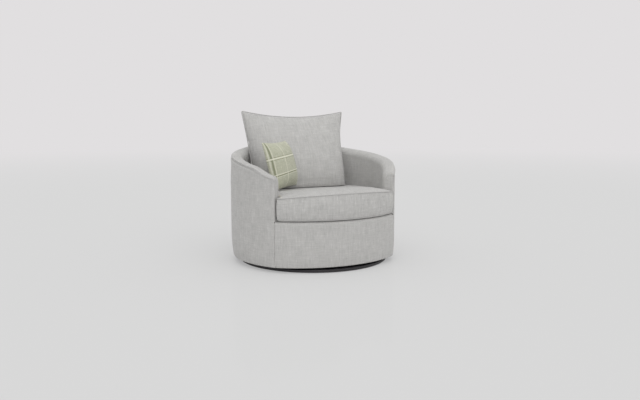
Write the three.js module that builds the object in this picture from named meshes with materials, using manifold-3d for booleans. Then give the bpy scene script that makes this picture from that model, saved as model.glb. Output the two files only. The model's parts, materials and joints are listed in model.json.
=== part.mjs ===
// A swivel cuddle chair: an upholstered barrel on a round plinth, with loose seat, back and scatter cushions.
// Millimetres, +Z up, the sitter looks along -Y. The origin is on the swivel axis, at the floor.
import * as THREE from "three";
import { mergeVertices } from "three/addons/utils/BufferGeometryUtils.js";
import Module from "manifold-3d";

const wasm = await Module();
wasm.setup();
const rad = THREE.MathUtils.degToRad;

// Driving dimensions of the barrel
const barrelRadius = 530;
const wallThickness = 80;
const frontReach = 474;
const seamAngle = rad(50);
const hemHeight = 32;
const borderHeight = 305;
const rimFrontHeight = 567;
const rimRise = 173;
const rimSwell = 27;
const armCornerRadius = 35;

// Facets and grids
const wallFacets = 30;
const frontFacets = 16;
const discFacets = 48;
const openingFacets = 32;
const ringFacets = 24;
const boltFacets = 12;
const pilotFacets = 8;
const hexagon = 6;
const ballFacets = 6;
const ballRings = 4;
const weltSides = 6;
const cornerSteps = 3;
const seatArcSteps = 7;
const backGrid = 14;
const backHollowGrid = 10;
const backTopGrid = 12;
const scatterGrid = 12;
const scatterHollowGrid = 8;
const weldDistance = 1e-3;

// Clearances: touching pieces keep fitGap, and a straight piece against a curved one keeps facetGap
const fitGap = 0.3;
const facetGap = 1;
const overrun = 5;

// Covers and padding
const coverThickness = 2;
const hemDraw = 9;
const frontDraw = 5;
const drawHeight = 100;
const drawPower = 2.4;
const drawEase = rad(22);
const panelEase = 2;
const wallFoamThickness = 12;
const rimFoamDepth = 15;
const borderFoamThickness = 8;
const outerShoulder = 12;
const innerShoulder = 40;
const rimCrown = 3;
const frontRoll = 14;
const paddingDrop = 30;
const weltRadius = 2.2;
const rimSeamRoom = 4;
const borderLip = 18;
const borderFlange = 45;
const dustCoverThickness = 0.8;
const dustCoverInset = 8;

// Frame
const boardThickness = 18;
const panelThickness = 3;
const frontPanelThickness = 6;
const topRailDepth = 18;
const frontRailWidth = 40;
const seatRailDepth = 40;
const seatRailDrop = 20;
const sideRailWidth = 35;
const sideRailRecess = 105;
const rearRailRecess = 180;
const rearRailWidth = 40;
const rearRailClearance = 2.3;
const supportWidth = 60;
const panelFoot = 62;
const postFacets = [5, 12, 17, 24];
const accessHoleRadius = 40;

// Plinth and swivel bearing
const padRadius = 455;
const padThickness = 3;
const plinthRadius = 478;
const plinthTop = 20;
const plinthEdgeRadius = 3;
const plateSize = 300;
const plateCornerRadius = 20;
const plateThickness = 2.5;
const upperPlateTop = 36;
const raceInner = 112;
const raceOuter = 138;
const raceDepth = 1.7;
const ballCount = 12;
const cageInner = 115;
const cageOuter = 135;
const cageThickness = 1.6;
const pivotRadius = 9.5;
const pivotClearance = 1;
const pivotHeadRadius = 16;
const pivotHeadThickness = 3;
const screwSpread = 122;
const screwRadius = 2;
const screwHeadRadius = 4.5;
const screwHeadDepth = 1.8;
const screwLength = 13;
const boltSpread = 110;
const boltRadius = 3;
const boltHeadRadius = 6.5;
const boltHeadDepth = 2.2;
const boltLength = 16;

// Springs
const springMargin = 70;
const springCount = 5;
const springWireRadius = 1.9;
const springHalfWidth = 22;
const springLoops = 15;
const springLanding = 19;
const holdDownWidth = 14;
const holdDownThickness = 2;

// Seat cushion
const seatFrontLead = 4;
const seatSideGap = 1;
const seatNotchGap = 8;
const seatEarGap = 10;
const seatRearRecess = 55;
const seatFrontSeam = 464;
const seatRearSeam = 430;
const seatFrontTop = 472;
const seatRestHeight = 446;
const seatEarDrop = 20;
const seatLipHeight = 317;
const seatLipLift = 4;
const seatEarRecess = 140;
const seatRiseStart = 50;
const seatRiseRun = 350;
const seatCentre = -150;
const seatCornerRun = 24;
const seatEarRun = 30;
const seatShell = 3;
const seamInset = 4.5;
const seatWeltRadius = 1.8;
const seatRimInset = 14;
const zipHalfLength = 150;
const zipWidth = 6;
const zipDepth = 2.4;
const sliderLength = 12;
const sliderThickness = 3;
const sliderHeight = 9;
const pullLength = 22;
const pullThickness = 1.2;

// Back cushion
const backSeamRecess = 245;
const backSeamSlope = 205;
const backSeamBow = 80;
const backHeight = 506;
const backBottomRecess = 128;
const backTopRecess = 80;
const backSideDraw = 12;
const backTopDip = 38;
const backFrontDepth = 135;
const backRearDepth = 105;
const backPipeRadius = 3.6;
const backShell = 3;
const backZipOffset = 24;

// Scatter cushion
const scatterSize = 306;
const scatterDraw = 9;
const scatterFrontDepth = 72;
const scatterRearDepth = 28;
const scatterShell = 2;
const scatterRecess = 212;
const scatterY = -8;
const scatterYaw = rad(39);
const scatterLean = rad(14);
const scatterRoll = rad(3.5);
const scatterZipHalfLength = 90;
const scatterZipWidth = 4;

// Colours and finishes
const upholstery = { color: 0xaaa9a7, roughness: 0.95, metalness: 0 };
const sage = { color: 0xb8baa5, roughness: 0.95, metalness: 0 };
const foam = { color: 0xe8dfc0, roughness: 1, metalness: 0 };
const fibre = { color: 0xd9d6d0, roughness: 1, metalness: 0 };
const timber = { color: 0xc9a678, roughness: 0.7, metalness: 0 };
const hardboard = { color: 0x8a6a48, roughness: 0.8, metalness: 0 };
const blackCloth = { color: 0x242426, roughness: 1, metalness: 0 };
const charcoal = { color: 0x3b3a3d, roughness: 0.45, metalness: 0 };
const felt = { color: 0x4a4a4c, roughness: 1, metalness: 0 };
const steel = { color: 0x9a9da1, roughness: 0.35, metalness: 1 };
const zinc = { color: 0xb5b8bb, roughness: 0.4, metalness: 1 };
const nylon = { color: 0x8e8d8a, roughness: 0.5, metalness: 0 };

// Depths of the layers, counted inwards from the barrel's face, the wall's inner face or the border's face
const wallInner = barrelRadius - wallThickness;
const boardFace = coverThickness + hemDraw + fitGap;
const outerPanelFace = coverThickness + panelEase + fitGap;
const outerPanelBack = outerPanelFace + panelThickness;
const frameOuter = outerPanelBack + fitGap;
const wallFoamFace = coverThickness + fitGap;
const wallFoamBack = wallFoamFace + wallFoamThickness;
const innerPanelFace = wallFoamBack + fitGap;
const innerPanelBack = innerPanelFace + panelThickness;
const frameInner = innerPanelBack + fitGap;
const borderFoamFace = coverThickness + fitGap;
const borderFoamBack = borderFoamFace + borderFoamThickness;
const frontPanelFace = borderFoamBack + fitGap;
const frontPanelBack = frontPanelFace + frontPanelThickness;
const frontRailFace = frontPanelBack + fitGap;
const frontRailBack = frontRailFace + frontRailWidth;

// Places that follow the wall's inner face
const sideRailReach = wallInner - sideRailRecess;
const rearRailNear = wallInner - rearRailRecess;
const rearRailReach = wallInner + innerPanelFace - rearRailClearance;
const rearRailHalf = Math.sqrt(rearRailReach ** 2 - (rearRailNear + rearRailWidth) ** 2);
const springSpacing = (2 * (sideRailReach - sideRailWidth - springMargin)) / (springCount - 1);
const seatRearLine = wallInner - seatRearRecess;
const seatEarHalf = barrelRadius - seatEarRecess;
const backSeamNear = wallInner - backSeamRecess;
const backHalfBottom = wallInner - backBottomRecess;
const backHalfTop = wallInner - backTopRecess;
const scatterX = scatterRecess - wallInner;

// Heights
const boardBottom = upperPlateTop + fitGap;
const boardTop = boardBottom + boardThickness;
const wallFoot = boardTop + fitGap;
const seatRailTop = borderHeight - seatRailDrop;
const seatRailBottom = seatRailTop - seatRailDepth;
const springHeight = seatRailTop + fitGap + springWireRadius;
const holdDownBottom = springHeight + springWireRadius + fitGap;
const holdDownTop = holdDownBottom + holdDownThickness;
const deckClothBottom = borderHeight - coverThickness;
const deckPadBottom = holdDownTop + fitGap;
const deckPadTop = deckClothBottom - fitGap;
const seatFloor = borderHeight + fitGap;
const topRailDrop = coverThickness + rimFoamDepth + fitGap + facetGap;

// The front border follows an arc through both seams
const seamX = barrelRadius * Math.sin(seamAngle);
const seamY = barrelRadius * Math.cos(seamAngle);
const frontBulge = frontReach - seamY;
const frontArcRadius = (seamX ** 2 + frontBulge ** 2) / (2 * frontBulge);
const frontArcCentre = frontArcRadius - frontReach;
const seamOffset = facetGap + frontArcCentre * Math.sin(seamAngle);
const frontHalfAngle = (reach) => seamAngle - Math.asin(seamOffset / reach);

// Solids and meshes

function solid(geometry) {
  const plain = geometry.index ? geometry.toNonIndexed() : geometry.clone();
  plain.deleteAttribute("normal");
  plain.deleteAttribute("uv");
  const merged = mergeVertices(plain, weldDistance);
  const vertProperties = new Float32Array(merged.attributes.position.array);
  const triVerts = new Uint32Array(merged.index.array);
  return new wasm.Manifold(new wasm.Mesh({ numProp: 3, vertProperties, triVerts }));
}

function geometryOf(made) {
  const mesh = made.getMesh();
  const geometry = new THREE.BufferGeometry();
  geometry.setAttribute("position", new THREE.BufferAttribute(new Float32Array(mesh.vertProperties), 3));
  geometry.setIndex(new THREE.BufferAttribute(new Uint32Array(mesh.triVerts), 1));
  return geometry;
}

const cut = (from, ...tools) =>
  geometryOf(tools.reduce((body, tool) => body.subtract(solid(tool)), solid(from)));
const join = (...pieces) => geometryOf(pieces.map(solid).reduce((body, piece) => body.add(piece)));

function mesh(name, geometry, finish) {
  geometry.computeVertexNormals();
  const made = new THREE.Mesh(geometry, new THREE.MeshStandardMaterial(finish));
  made.name = name;
  return made;
}

function surface(points, faces) {
  const geometry = new THREE.BufferGeometry();
  const volume = faces.reduce((sum, [a, b, c]) => {
    const normal = new THREE.Vector3().crossVectors(points[b], points[c]);
    return sum + points[a].dot(normal);
  }, 0);
  const facing = volume < 0 ? faces.map(([a, b, c]) => [a, c, b]) : faces;
  geometry.setAttribute("position", new THREE.Float32BufferAttribute(points.flatMap((p) => p.toArray()), 3));
  geometry.setIndex(facing.flat());
  return geometry;
}

// Joins matching outlines, each an even number of points, into one closed solid. The ends are closed by a
// ladder between the first half of the outline and the second half, which runs back beside it.
function loft(rings, closed = false) {
  const count = rings[0].length;
  const points = rings.flat();
  const lead = points.map((point) => Math.hypot(point.x, point.y) + point.z * weldDistance);
  const faces = [];
  const spans = closed ? rings.length : rings.length - 1;
  for (let i = 0; i < spans; i++) {
    const a = i * count;
    const b = ((i + 1) % rings.length) * count;
    for (let j = 0; j < count; j++) {
      const k = (j + 1) % count;
      if (lead[a + j] > lead[a + k]) faces.push([a + j, a + k, b + k], [a + j, b + k, b + j]);
      else faces.push([a + j, a + k, b + j], [a + k, b + k, b + j]);
    }
  }
  if (!closed) {
    const last = (rings.length - 1) * count;
    for (let j = 0; j < count / 2 - 1; j++) {
      const far = count - 1 - j;
      faces.push([j, far, j + 1], [far, far - 1, j + 1]);
      faces.push([last + j, last + j + 1, last + far], [last + far, last + j + 1, last + far - 1]);
    }
  }
  return surface(points, faces);
}

const box = (width, depth, height, x, y, z) =>
  new THREE.BoxGeometry(width, depth, height).translate(x, y, z);

function cylinder(radius, bottom, top, segments = ringFacets, x = 0, y = 0) {
  return new THREE.CylinderGeometry(radius, radius, top - bottom, segments)
    .rotateX(Math.PI / 2)
    .translate(x, y, (bottom + top) / 2);
}

function turned(profile, segments) {
  const points = profile.map(([r, z]) => new THREE.Vector2(r, z));
  return new THREE.LatheGeometry([...points, points[0].clone()], segments).rotateX(Math.PI / 2);
}

function plate(outline, bottom, top) {
  const shape = new THREE.Shape(outline.map(([x, y]) => new THREE.Vector2(x, y)));
  return new THREE.ExtrudeGeometry(shape, { depth: top - bottom, bevelEnabled: false, steps: 1 })
    .translate(0, 0, bottom);
}

// Upright sections of the wall. Near an arm front a section is parallel to the arm's front face, at a
// depth behind it, and further back it is radial. They run from the right arm front, round the back, to
// the left one.

const cornerLine = Math.sqrt((wallInner + armCornerRadius) ** 2 - armCornerRadius ** 2);
const cornerDepthShares = [0.18, 0.4, 0.7, 1];
const cornerDepths = [0, wallFoamFace, ...cornerDepthShares.map((share) => share * armCornerRadius)];
const firstRadial = seamAngle + 2 * Math.asin(armCornerRadius / (wallInner + armCornerRadius));
const radialStep = (2 * Math.PI - 2 * firstRadial) / wallFacets;
const midWall = barrelRadius - wallThickness / 2;

// Where the rim swells over its even rise, as shares of the way from the arm fronts to the back
const rimClimbShares = [0.02, 0.15];
const rimFadeShares = [0.2, 0.7];

function rimHeightAt(angle) {
  const share = (Math.min(angle, 2 * Math.PI - angle) - seamAngle) / (Math.PI - seamAngle);
  const climb = THREE.MathUtils.smoothstep(share, ...rimClimbShares);
  const fade = 1 - THREE.MathUtils.smoothstep(share, ...rimFadeShares);
  return rimFrontHeight + rimRise * (share + share ** 2 - share ** 3) + rimSwell * climb * fade;
}

function rollDrop(depth) {
  if (depth >= frontRoll) return 0;
  return frontRoll - Math.sqrt(frontRoll ** 2 - (frontRoll - depth) ** 2);
}

function capSection(side, depth) {
  const along = new THREE.Vector3(side * Math.sin(seamAngle), -Math.cos(seamAngle), 0);
  const into = new THREE.Vector3(side * Math.cos(seamAngle), Math.sin(seamAngle), 0);
  return {
    depth,
    draw: frontDraw,
    rim: rimHeightAt(seamAngle + Math.asin(depth / midWall)) - rollDrop(depth),
    inner(inset) {
      if (depth >= armCornerRadius) return Math.sqrt((wallInner + inset) ** 2 - depth ** 2);
      const round = (armCornerRadius - inset) ** 2 - (armCornerRadius - depth) ** 2;
      return cornerLine - Math.sqrt(Math.max(round, 0));
    },
    outer: (inset) => Math.sqrt((barrelRadius - inset) ** 2 - depth ** 2),
    at: (reach, z) => along.clone().multiplyScalar(reach).addScaledVector(into, depth).setZ(z),
  };
}

function radialSection(angle) {
  const gone = Math.min(angle, 2 * Math.PI - angle) - seamAngle;
  return {
    depth: wallInner,
    draw: THREE.MathUtils.lerp(frontDraw, hemDraw, THREE.MathUtils.smoothstep(gone, 0, drawEase)),
    rim: rimHeightAt(angle),
    inner: (inset) => wallInner + inset,
    outer: (inset) => barrelRadius - inset,
    at: (reach, z) => new THREE.Vector3(reach * Math.sin(angle), -reach * Math.cos(angle), z),
  };
}

const radialSections = Array.from({ length: wallFacets + 1 }, (_, i) => {
  return radialSection(firstRadial + i * radialStep);
});

function wallSections(frontDepth) {
  const depths = [frontDepth, ...cornerDepths.filter((depth) => depth > frontDepth + facetGap)];
  return [
    ...depths.map((depth) => capSection(1, depth)),
    ...radialSections,
    ...depths.map((depth) => capSection(-1, depth)).reverse(),
  ];
}

const wallPiece = (sections, outline) =>
  loft(sections.map((section) => outline(section).map(([reach, z]) => section.at(reach, z))));

// The rim's arch, from the outer seam over the top to the inner face, at a depth under the cover's face
const outerArch = [15, 60].map(rad);
const innerArch = [70, 35, 0].map(rad);
function rimArch(section, inset) {
  const outer = section.outer(0);
  const inner = section.inner(0);
  const outerCentre = outer - outerShoulder;
  const innerCentre = inner + innerShoulder;
  const middle = (outerCentre + innerCentre) / 2;
  return [
    ...outerArch.map((turn) => [
      outerCentre + (outerShoulder - inset) * Math.cos(turn),
      section.rim - outerShoulder + (outerShoulder - inset) * Math.sin(turn),
    ]),
    [middle, section.rim + rimCrown - inset],
    ...innerArch.map((turn) => [
      innerCentre - (innerShoulder - inset) * Math.cos(turn),
      section.rim - innerShoulder + (innerShoulder - inset) * Math.sin(turn),
    ]),
  ];
}

// The wall's inside line: along the arm front, round its corner, along the inner face, and back to the
// other arm front. Each place gives the point at a depth behind the face.
function insidePlaces(startReach) {
  const side = (sign) => {
    const along = new THREE.Vector3(sign * Math.sin(seamAngle), -Math.cos(seamAngle), 0);
    const into = new THREE.Vector3(sign * Math.cos(seamAngle), Math.sin(seamAngle), 0);
    const centre = along.clone().multiplyScalar(cornerLine).addScaledVector(into, armCornerRadius);
    const cap = capSection(sign, 0);
    const front = rimArch(cap, coverThickness).filter(([reach]) => reach < startReach);
    const straight = [[startReach, rimArch(cap, coverThickness)[0][1]], ...front].map(([reach, z]) => ({
      at: (inset) => along.clone().multiplyScalar(reach).addScaledVector(into, inset),
      front: true,
      top: z - facetGap,
    }));
    const turnEnd = Math.PI / 2 - Math.asin(armCornerRadius / (wallInner + armCornerRadius));
    const round = cornerDepths.map((depth) => {
      const turn = Math.min(Math.acos((armCornerRadius - depth) / armCornerRadius), turnEnd);
      const way = into.clone().multiplyScalar(-Math.cos(turn)).addScaledVector(along, -Math.sin(turn));
      return {
        at: (inset) => centre.clone().addScaledVector(way, armCornerRadius - inset),
        top: capSection(sign, depth).rim - innerShoulder - facetGap,
      };
    });
    return [...straight, ...round];
  };
  const middle = radialSections.map((section) => ({
    at: (inset) => section.at(wallInner + inset, 0),
    top: section.rim - innerShoulder - facetGap,
  }));
  return [...side(1), ...middle, ...side(-1).reverse()];
}

function insideSheet(face, back, startReach, bottom, topOf) {
  return loft(
    insidePlaces(startReach).map((place) => {
      const near = place.at(face);
      const far = place.at(back);
      const upright = (point, ...heights) => heights.map((z) => point.clone().setZ(z));
      return [...upright(near, bottom, topOf(place)), ...upright(far, topOf(place), bottom)];
    }),
  );
}

// The covers are drawn in towards the hem: insets and heights, from the hem up, at a depth under the face
const drawShares = [0, 0.22, 0.52, 1];
const hemLine = (draw, depth) =>
  drawShares.map((share) => [depth + draw * (1 - share) ** drawPower, hemHeight + share * drawHeight]);

// Sections of the front border, from the left seam to the right seam
const frontSections = Array.from({ length: frontFacets + 1 }, (_, i) => {
  return (inset, z) => {
    const reach = frontArcRadius - inset;
    const turn = frontHalfAngle(reach) * ((2 * i) / frontFacets - 1);
    return new THREE.Vector3(reach * Math.sin(turn), frontArcCentre - reach * Math.cos(turn), z);
  };
});
const frontPiece = (outline) =>
  loft(frontSections.map((section) => outline.map(([inset, z]) => section(inset, z))));
const frontLineAt = (inset, x) => frontArcCentre - Math.sqrt((frontArcRadius - inset) ** 2 - x ** 2);

// Plans

// The whole body's plan: the front border's facets at one inset, and the wall's facets at another
function bodyPlan(frontInset, wallInset) {
  const front = frontSections.map((section) => section(frontInset, 0));
  const wall = wallSections(innerPanelFace).map((section) => section.at(section.outer(wallInset), 0));
  return [...front, ...wall].map((point) => [point.x, point.y]);
}

// The seat well's plan: the front arc at an inset, the arm fronts at a depth behind their faces, and the wall
function wellPlan(frontInset, armDepth, radius) {
  const reach = frontArcRadius - frontInset;
  const along = new THREE.Vector2(Math.sin(seamAngle), -Math.cos(seamAngle));
  const foot = new THREE.Vector2(Math.cos(seamAngle), Math.sin(seamAngle)).multiplyScalar(armDepth);
  const toCentre = new THREE.Vector2(-foot.x, frontArcCentre - foot.y);
  const beside = toCentre.dot(along);
  const run = beside + Math.sqrt(beside ** 2 - toCentre.lengthSq() + reach ** 2);
  const corner = foot.clone().addScaledVector(along, run);
  const notch = foot.clone().addScaledVector(along, Math.sqrt(radius ** 2 - armDepth ** 2));
  const half = Math.asin(corner.x / reach);
  const from = Math.atan2(notch.x, -notch.y);
  const points = [];
  for (let i = 0; i <= frontFacets; i++) {
    const turn = half * ((2 * i) / frontFacets - 1);
    points.push([reach * Math.sin(turn), frontArcCentre - reach * Math.cos(turn)]);
  }
  for (let i = 0; i <= wallFacets; i++) {
    const turn = from + ((2 * Math.PI - 2 * from) * i) / wallFacets;
    points.push([radius * Math.sin(turn), -radius * Math.cos(turn)]);
  }
  return points;
}

// Base: floor pad, plinth and the swivel's lower half

const plinthFloor = padThickness + fitGap;
const lowerPlateBottom = plinthTop + fitGap;
const lowerPlateTop = lowerPlateBottom + plateThickness;
const lowerRaceTop = lowerPlateTop + raceDepth;
const upperPlateBottom = upperPlateTop - plateThickness;
const upperRaceBottom = upperPlateBottom - raceDepth;
const ballHeight = (lowerRaceTop + upperRaceBottom) / 2;
const ballRadius = (upperRaceBottom - lowerRaceTop) / 2 - fitGap;
const quarterTurns = [0, 1, 2, 3];
const pitchRadius = (raceInner + raceOuter) / 2;

function aroundPlate(spread, k) {
  const turn = Math.PI / 4 + (k * Math.PI) / 2;
  return [Math.SQRT2 * spread * Math.cos(turn), Math.SQRT2 * spread * Math.sin(turn)];
}

function floorPad() {
  return cylinder(padRadius, 0, padThickness, discFacets);
}

function plinth() {
  const disc = new THREE.LatheGeometry(
    [
      [0, plinthFloor],
      [plinthRadius - plinthEdgeRadius, plinthFloor],
      [plinthRadius, plinthFloor + plinthEdgeRadius],
      [plinthRadius, plinthTop - plinthEdgeRadius],
      [plinthRadius - plinthEdgeRadius, plinthTop],
      [0, plinthTop],
    ].map(([r, z]) => new THREE.Vector2(r, z)),
    discFacets,
  ).rotateX(Math.PI / 2);
  const pilots = quarterTurns.map((k) => {
    const [x, y] = aroundPlate(screwSpread, k);
    const foot = lowerPlateTop - screwLength - fitGap;
    return cylinder(screwRadius + fitGap, foot, plinthTop + overrun, pilotFacets, x, y);
  });
  const recess = cylinder(
    pivotHeadRadius + pivotClearance,
    plinthTop - pivotHeadThickness - fitGap,
    plinthTop + overrun,
  );
  return cut(disc, recess, ...pilots);
}

function roundedSquare(size, corner) {
  const half = size / 2 - corner;
  return quarterTurns.flatMap((k) => {
    const [x, y] = aroundPlate(half, k);
    return Array.from({ length: cornerSteps + 1 }, (_, i) => {
      const turn = (Math.PI / 2) * (k + i / cornerSteps);
      return [x + corner * Math.cos(turn), y + corner * Math.sin(turn)];
    });
  });
}

const raceRing = (bottom, top) =>
  turned([[raceInner, bottom], [raceOuter, bottom], [raceOuter, top], [raceInner, top]], ringFacets);

function lowerPlate() {
  const pressed = join(
    plate(roundedSquare(plateSize, plateCornerRadius), lowerPlateBottom, lowerPlateTop),
    raceRing(lowerPlateTop - plateThickness / 2, lowerRaceTop),
  );
  const low = lowerPlateBottom - overrun;
  const high = lowerRaceTop + overrun;
  const holes = quarterTurns.map((k) =>
    cylinder(screwRadius + fitGap, low, high, pilotFacets, ...aroundPlate(screwSpread, k)),
  );
  return cut(pressed, cylinder(pivotRadius + fitGap, low, high), ...holes);
}

function lowerScrew(k) {
  const [x, y] = aroundPlate(screwSpread, k);
  const seat = lowerPlateTop + fitGap;
  return join(
    cylinder(screwHeadRadius, seat, seat + screwHeadDepth, boltFacets, x, y),
    cylinder(screwRadius, lowerPlateTop - screwLength, seat + screwHeadDepth / 2, pilotFacets, x, y),
  );
}

function pivotPin() {
  const headBottom = upperPlateTop + fitGap;
  return join(
    cylinder(pivotHeadRadius, plinthTop - pivotHeadThickness, plinthTop),
    cylinder(pivotRadius, plinthTop - pivotHeadThickness / 2, headBottom + pivotHeadThickness / 2),
    cylinder(pivotHeadRadius, headBottom, headBottom + pivotHeadThickness),
  );
}

function ballCage() {
  const low = ballHeight - cageThickness / 2;
  const high = ballHeight + cageThickness / 2;
  const ring = turned([[cageInner, low], [cageOuter, low], [cageOuter, high], [cageInner, high]], ringFacets);
  const balls = Array.from({ length: ballCount }, (_, i) => {
    const turn = (i * 2 * Math.PI) / ballCount;
    return new THREE.SphereGeometry(ballRadius, ballFacets, ballRings)
      .rotateX(Math.PI / 2)
      .translate(pitchRadius * Math.cos(turn), pitchRadius * Math.sin(turn), ballHeight);
  });
  return join(ring, ...balls);
}

// Swivel's upper half

function upperPlate() {
  const pressed = join(
    plate(roundedSquare(plateSize, plateCornerRadius), upperPlateBottom, upperPlateTop),
    raceRing(upperRaceBottom, upperPlateTop - plateThickness / 2),
  );
  const low = upperRaceBottom - overrun;
  const high = upperPlateTop + overrun;
  const holes = quarterTurns.map((k) =>
    cylinder(boltRadius + fitGap, low, high, boltFacets, ...aroundPlate(boltSpread, k)),
  );
  return cut(pressed, cylinder(pivotRadius + pivotClearance, low, high), ...holes);
}

function upperBolt(k) {
  const [x, y] = aroundPlate(boltSpread, k);
  const seat = upperPlateBottom - fitGap;
  return join(
    cylinder(boltHeadRadius, seat - boltHeadDepth, seat, hexagon, x, y),
    cylinder(boltRadius, seat - boltHeadDepth / 2, seat + boltLength, boltFacets, x, y),
  );
}

// Frame

function bottomBoard() {
  const sheet = plate(bodyPlan(frontRailFace, boardFace), boardBottom, boardTop);
  const low = boardBottom - overrun;
  const high = boardTop + overrun;
  const holes = quarterTurns.map((k) =>
    cylinder(boltRadius + fitGap, low, high, boltFacets, ...aroundPlate(boltSpread, k)),
  );
  return cut(sheet, cylinder(accessHoleRadius, low, high), ...holes);
}

function frontPanel() {
  const top = seatRailTop + fitGap;
  return frontPiece([
    [frontPanelFace, boardBottom],
    [frontPanelFace, top],
    [frontPanelBack, top],
    [frontPanelBack, boardBottom],
  ]);
}

function frontSeatRail() {
  return frontPiece([
    [frontRailFace, seatRailBottom],
    [frontRailFace, seatRailTop],
    [frontRailBack, seatRailTop],
    [frontRailBack, seatRailBottom],
  ]);
}

function sideSeatRail(side) {
  const far = rearRailNear - fitGap;
  const near = frontLineAt(frontRailBack, sideRailReach) + facetGap;
  const x = side * (sideRailReach - sideRailWidth / 2);
  const z = (seatRailTop + seatRailBottom) / 2;
  return box(sideRailWidth, far - near, seatRailDepth, x, (far + near) / 2, z);
}

function rearSeatRail() {
  const y = rearRailNear + rearRailWidth / 2;
  return box(2 * rearRailHalf, rearRailWidth, seatRailDepth, 0, y, (seatRailTop + seatRailBottom) / 2);
}

function rearRailSupport() {
  const top = seatRailBottom - fitGap;
  const y = rearRailNear + rearRailWidth / 2;
  return box(supportWidth, rearRailWidth, top - wallFoot, 0, y, (top + wallFoot) / 2);
}

const topRailUnder = (section) => section.rim - topRailDrop - topRailDepth;

function topRail() {
  return wallPiece(wallSections(frameInner + facetGap), (section) => [
    [section.outer(frameOuter), topRailUnder(section)],
    [section.outer(frameOuter), section.rim - topRailDrop],
    [section.inner(frameInner + facetGap), section.rim - topRailDrop],
    [section.inner(frameInner + facetGap), topRailUnder(section)],
  ]);
}

// The posts keep clear of the twist in the rail's underside where the rim climbs
const postTopGap = 2 * facetGap;
const postOutline = (section) => [
  [section.outer(frameOuter), wallFoot],
  [section.outer(frameOuter), topRailUnder(section) - postTopGap],
  [section.inner(frameInner + facetGap), topRailUnder(section) - postTopGap],
  [section.inner(frameInner + facetGap), wallFoot],
];

function wallPost(facet) {
  const from = firstRadial + facet * radialStep;
  return wallPiece([radialSection(from), radialSection(from + radialStep)], postOutline);
}

function armFrontPost(side) {
  const depth = frameInner + facetGap;
  const sections = [depth, ...cornerDepths.filter((share) => share > depth + facetGap)];
  const caps = sections.map((reach) => capSection(side, reach));
  const last = radialSection(side > 0 ? firstRadial : 2 * Math.PI - firstRadial);
  return wallPiece([...caps, last], postOutline);
}

function outerPanel() {
  return wallPiece(wallSections(innerPanelFace), (section) => [
    [section.outer(outerPanelFace), hemHeight + panelFoot],
    [section.outer(outerPanelFace), section.rim - topRailDrop],
    [section.outer(outerPanelBack), section.rim - topRailDrop],
    [section.outer(outerPanelBack), hemHeight + panelFoot],
  ]);
}

const paddingStart = barrelRadius - frameOuter - facetGap;
const paddingTop = (place) => place.top - paddingDrop - (place.front ? innerShoulder : 0);

function innerPanel() {
  return insideSheet(innerPanelFace, innerPanelBack, paddingStart, wallFoot, paddingTop);
}

// Springs and deck

function springPlaces() {
  return Array.from({ length: springCount }, (_, i) => (i - (springCount - 1) / 2) * springSpacing);
}

function spring(x) {
  const front = frontLineAt(frontRailFace + springLanding, x);
  const rear = rearRailNear + springLanding;
  const rings = Array.from({ length: springLoops + 1 }, (_, i) => {
    const swing = i % 2 === 0 ? 1 : -1;
    const y = front + ((rear - front) * i) / springLoops;
    return quarterTurns.map((k) => {
      const turn = (k * Math.PI) / 2;
      const across = swing * springHalfWidth + Math.SQRT2 * springWireRadius * Math.cos(turn);
      return new THREE.Vector3(x + across, y, springHeight + springWireRadius * Math.sin(turn));
    });
  });
  return loft(rings);
}

function frontHoldDown() {
  const near = frontRailFace + springLanding - holdDownWidth / 2;
  return frontPiece([
    [near, holdDownBottom],
    [near, holdDownTop],
    [near + holdDownWidth, holdDownTop],
    [near + holdDownWidth, holdDownBottom],
  ]);
}

function rearHoldDown() {
  const length = springSpacing * (springCount - 1) + 2 * (springHalfWidth + holdDownWidth);
  const y = rearRailNear + springLanding;
  return box(length, holdDownWidth, holdDownThickness, 0, y, (holdDownBottom + holdDownTop) / 2);
}

const deckInset = frontPanelBack + fitGap + borderLip;
const deckReach = wallInner + wallFoamBack - facetGap;
function deckPad() {
  return plate(wellPlan(deckInset, wallFoamBack - facetGap, deckReach), deckPadBottom, deckPadTop);
}

function deckCloth() {
  const plan = wellPlan(borderFlange + facetGap, wallFoamBack - facetGap, deckReach);
  return plate(plan, deckClothBottom, borderHeight);
}

function dustCover() {
  const top = boardBottom - fitGap;
  const plan = bodyPlan(frontRailFace, frameOuter + dustCoverInset);
  const sheet = plate(plan, top - dustCoverThickness, top);
  const opening = plateSize * Math.SQRT1_2 + plateCornerRadius / 2;
  return cut(sheet, cylinder(opening, top - overrun, top + overrun, openingFacets));
}

// Padding and covers of the barrel

function wallFoam() {
  return insideSheet(wallFoamFace, wallFoamBack, paddingStart, seatFloor, paddingTop);
}

function rimFoam() {
  const under = (section) => section.rim - topRailDrop + facetGap;
  return wallPiece(wallSections(wallFoamFace), (section) => {
    const most = section.outer(coverThickness / 2 + weltRadius + rimSeamRoom);
    const arch = rimArch(section, coverThickness + fitGap).map(([reach, z]) => [Math.min(reach, most), z]);
    const leg = section.inner(0) + wallFoamBack;
    const [, foot] = arch[arch.length - 1];
    const back = [
      [leg, foot],
      [leg, (foot + under(section)) / 2],
      [leg + fitGap, under(section)],
      ...arch
        .slice(0, -3)
        .map(([reach]) => [Math.max(reach, leg + facetGap), under(section)])
        .reverse(),
    ];
    return [...arch, ...back];
  });
}

function rimCover() {
  return wallPiece(wallSections(0), (section) => [
    ...rimArch(section, 0),
    ...rimArch(section, coverThickness).reverse(),
  ]);
}

const weltTurns = Array.from({ length: weltSides }, (_, i) => (i * 2 * Math.PI) / weltSides);
const weltHeight = (section) => section.rim - outerShoulder;
function rimWelt() {
  return wallPiece(wallSections(wallFoamFace), (section) =>
    weltTurns.map((turn) => [
      section.outer(coverThickness / 2) + weltRadius * Math.cos(turn),
      weltHeight(section) + weltRadius * Math.sin(turn),
    ]),
  );
}

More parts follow.
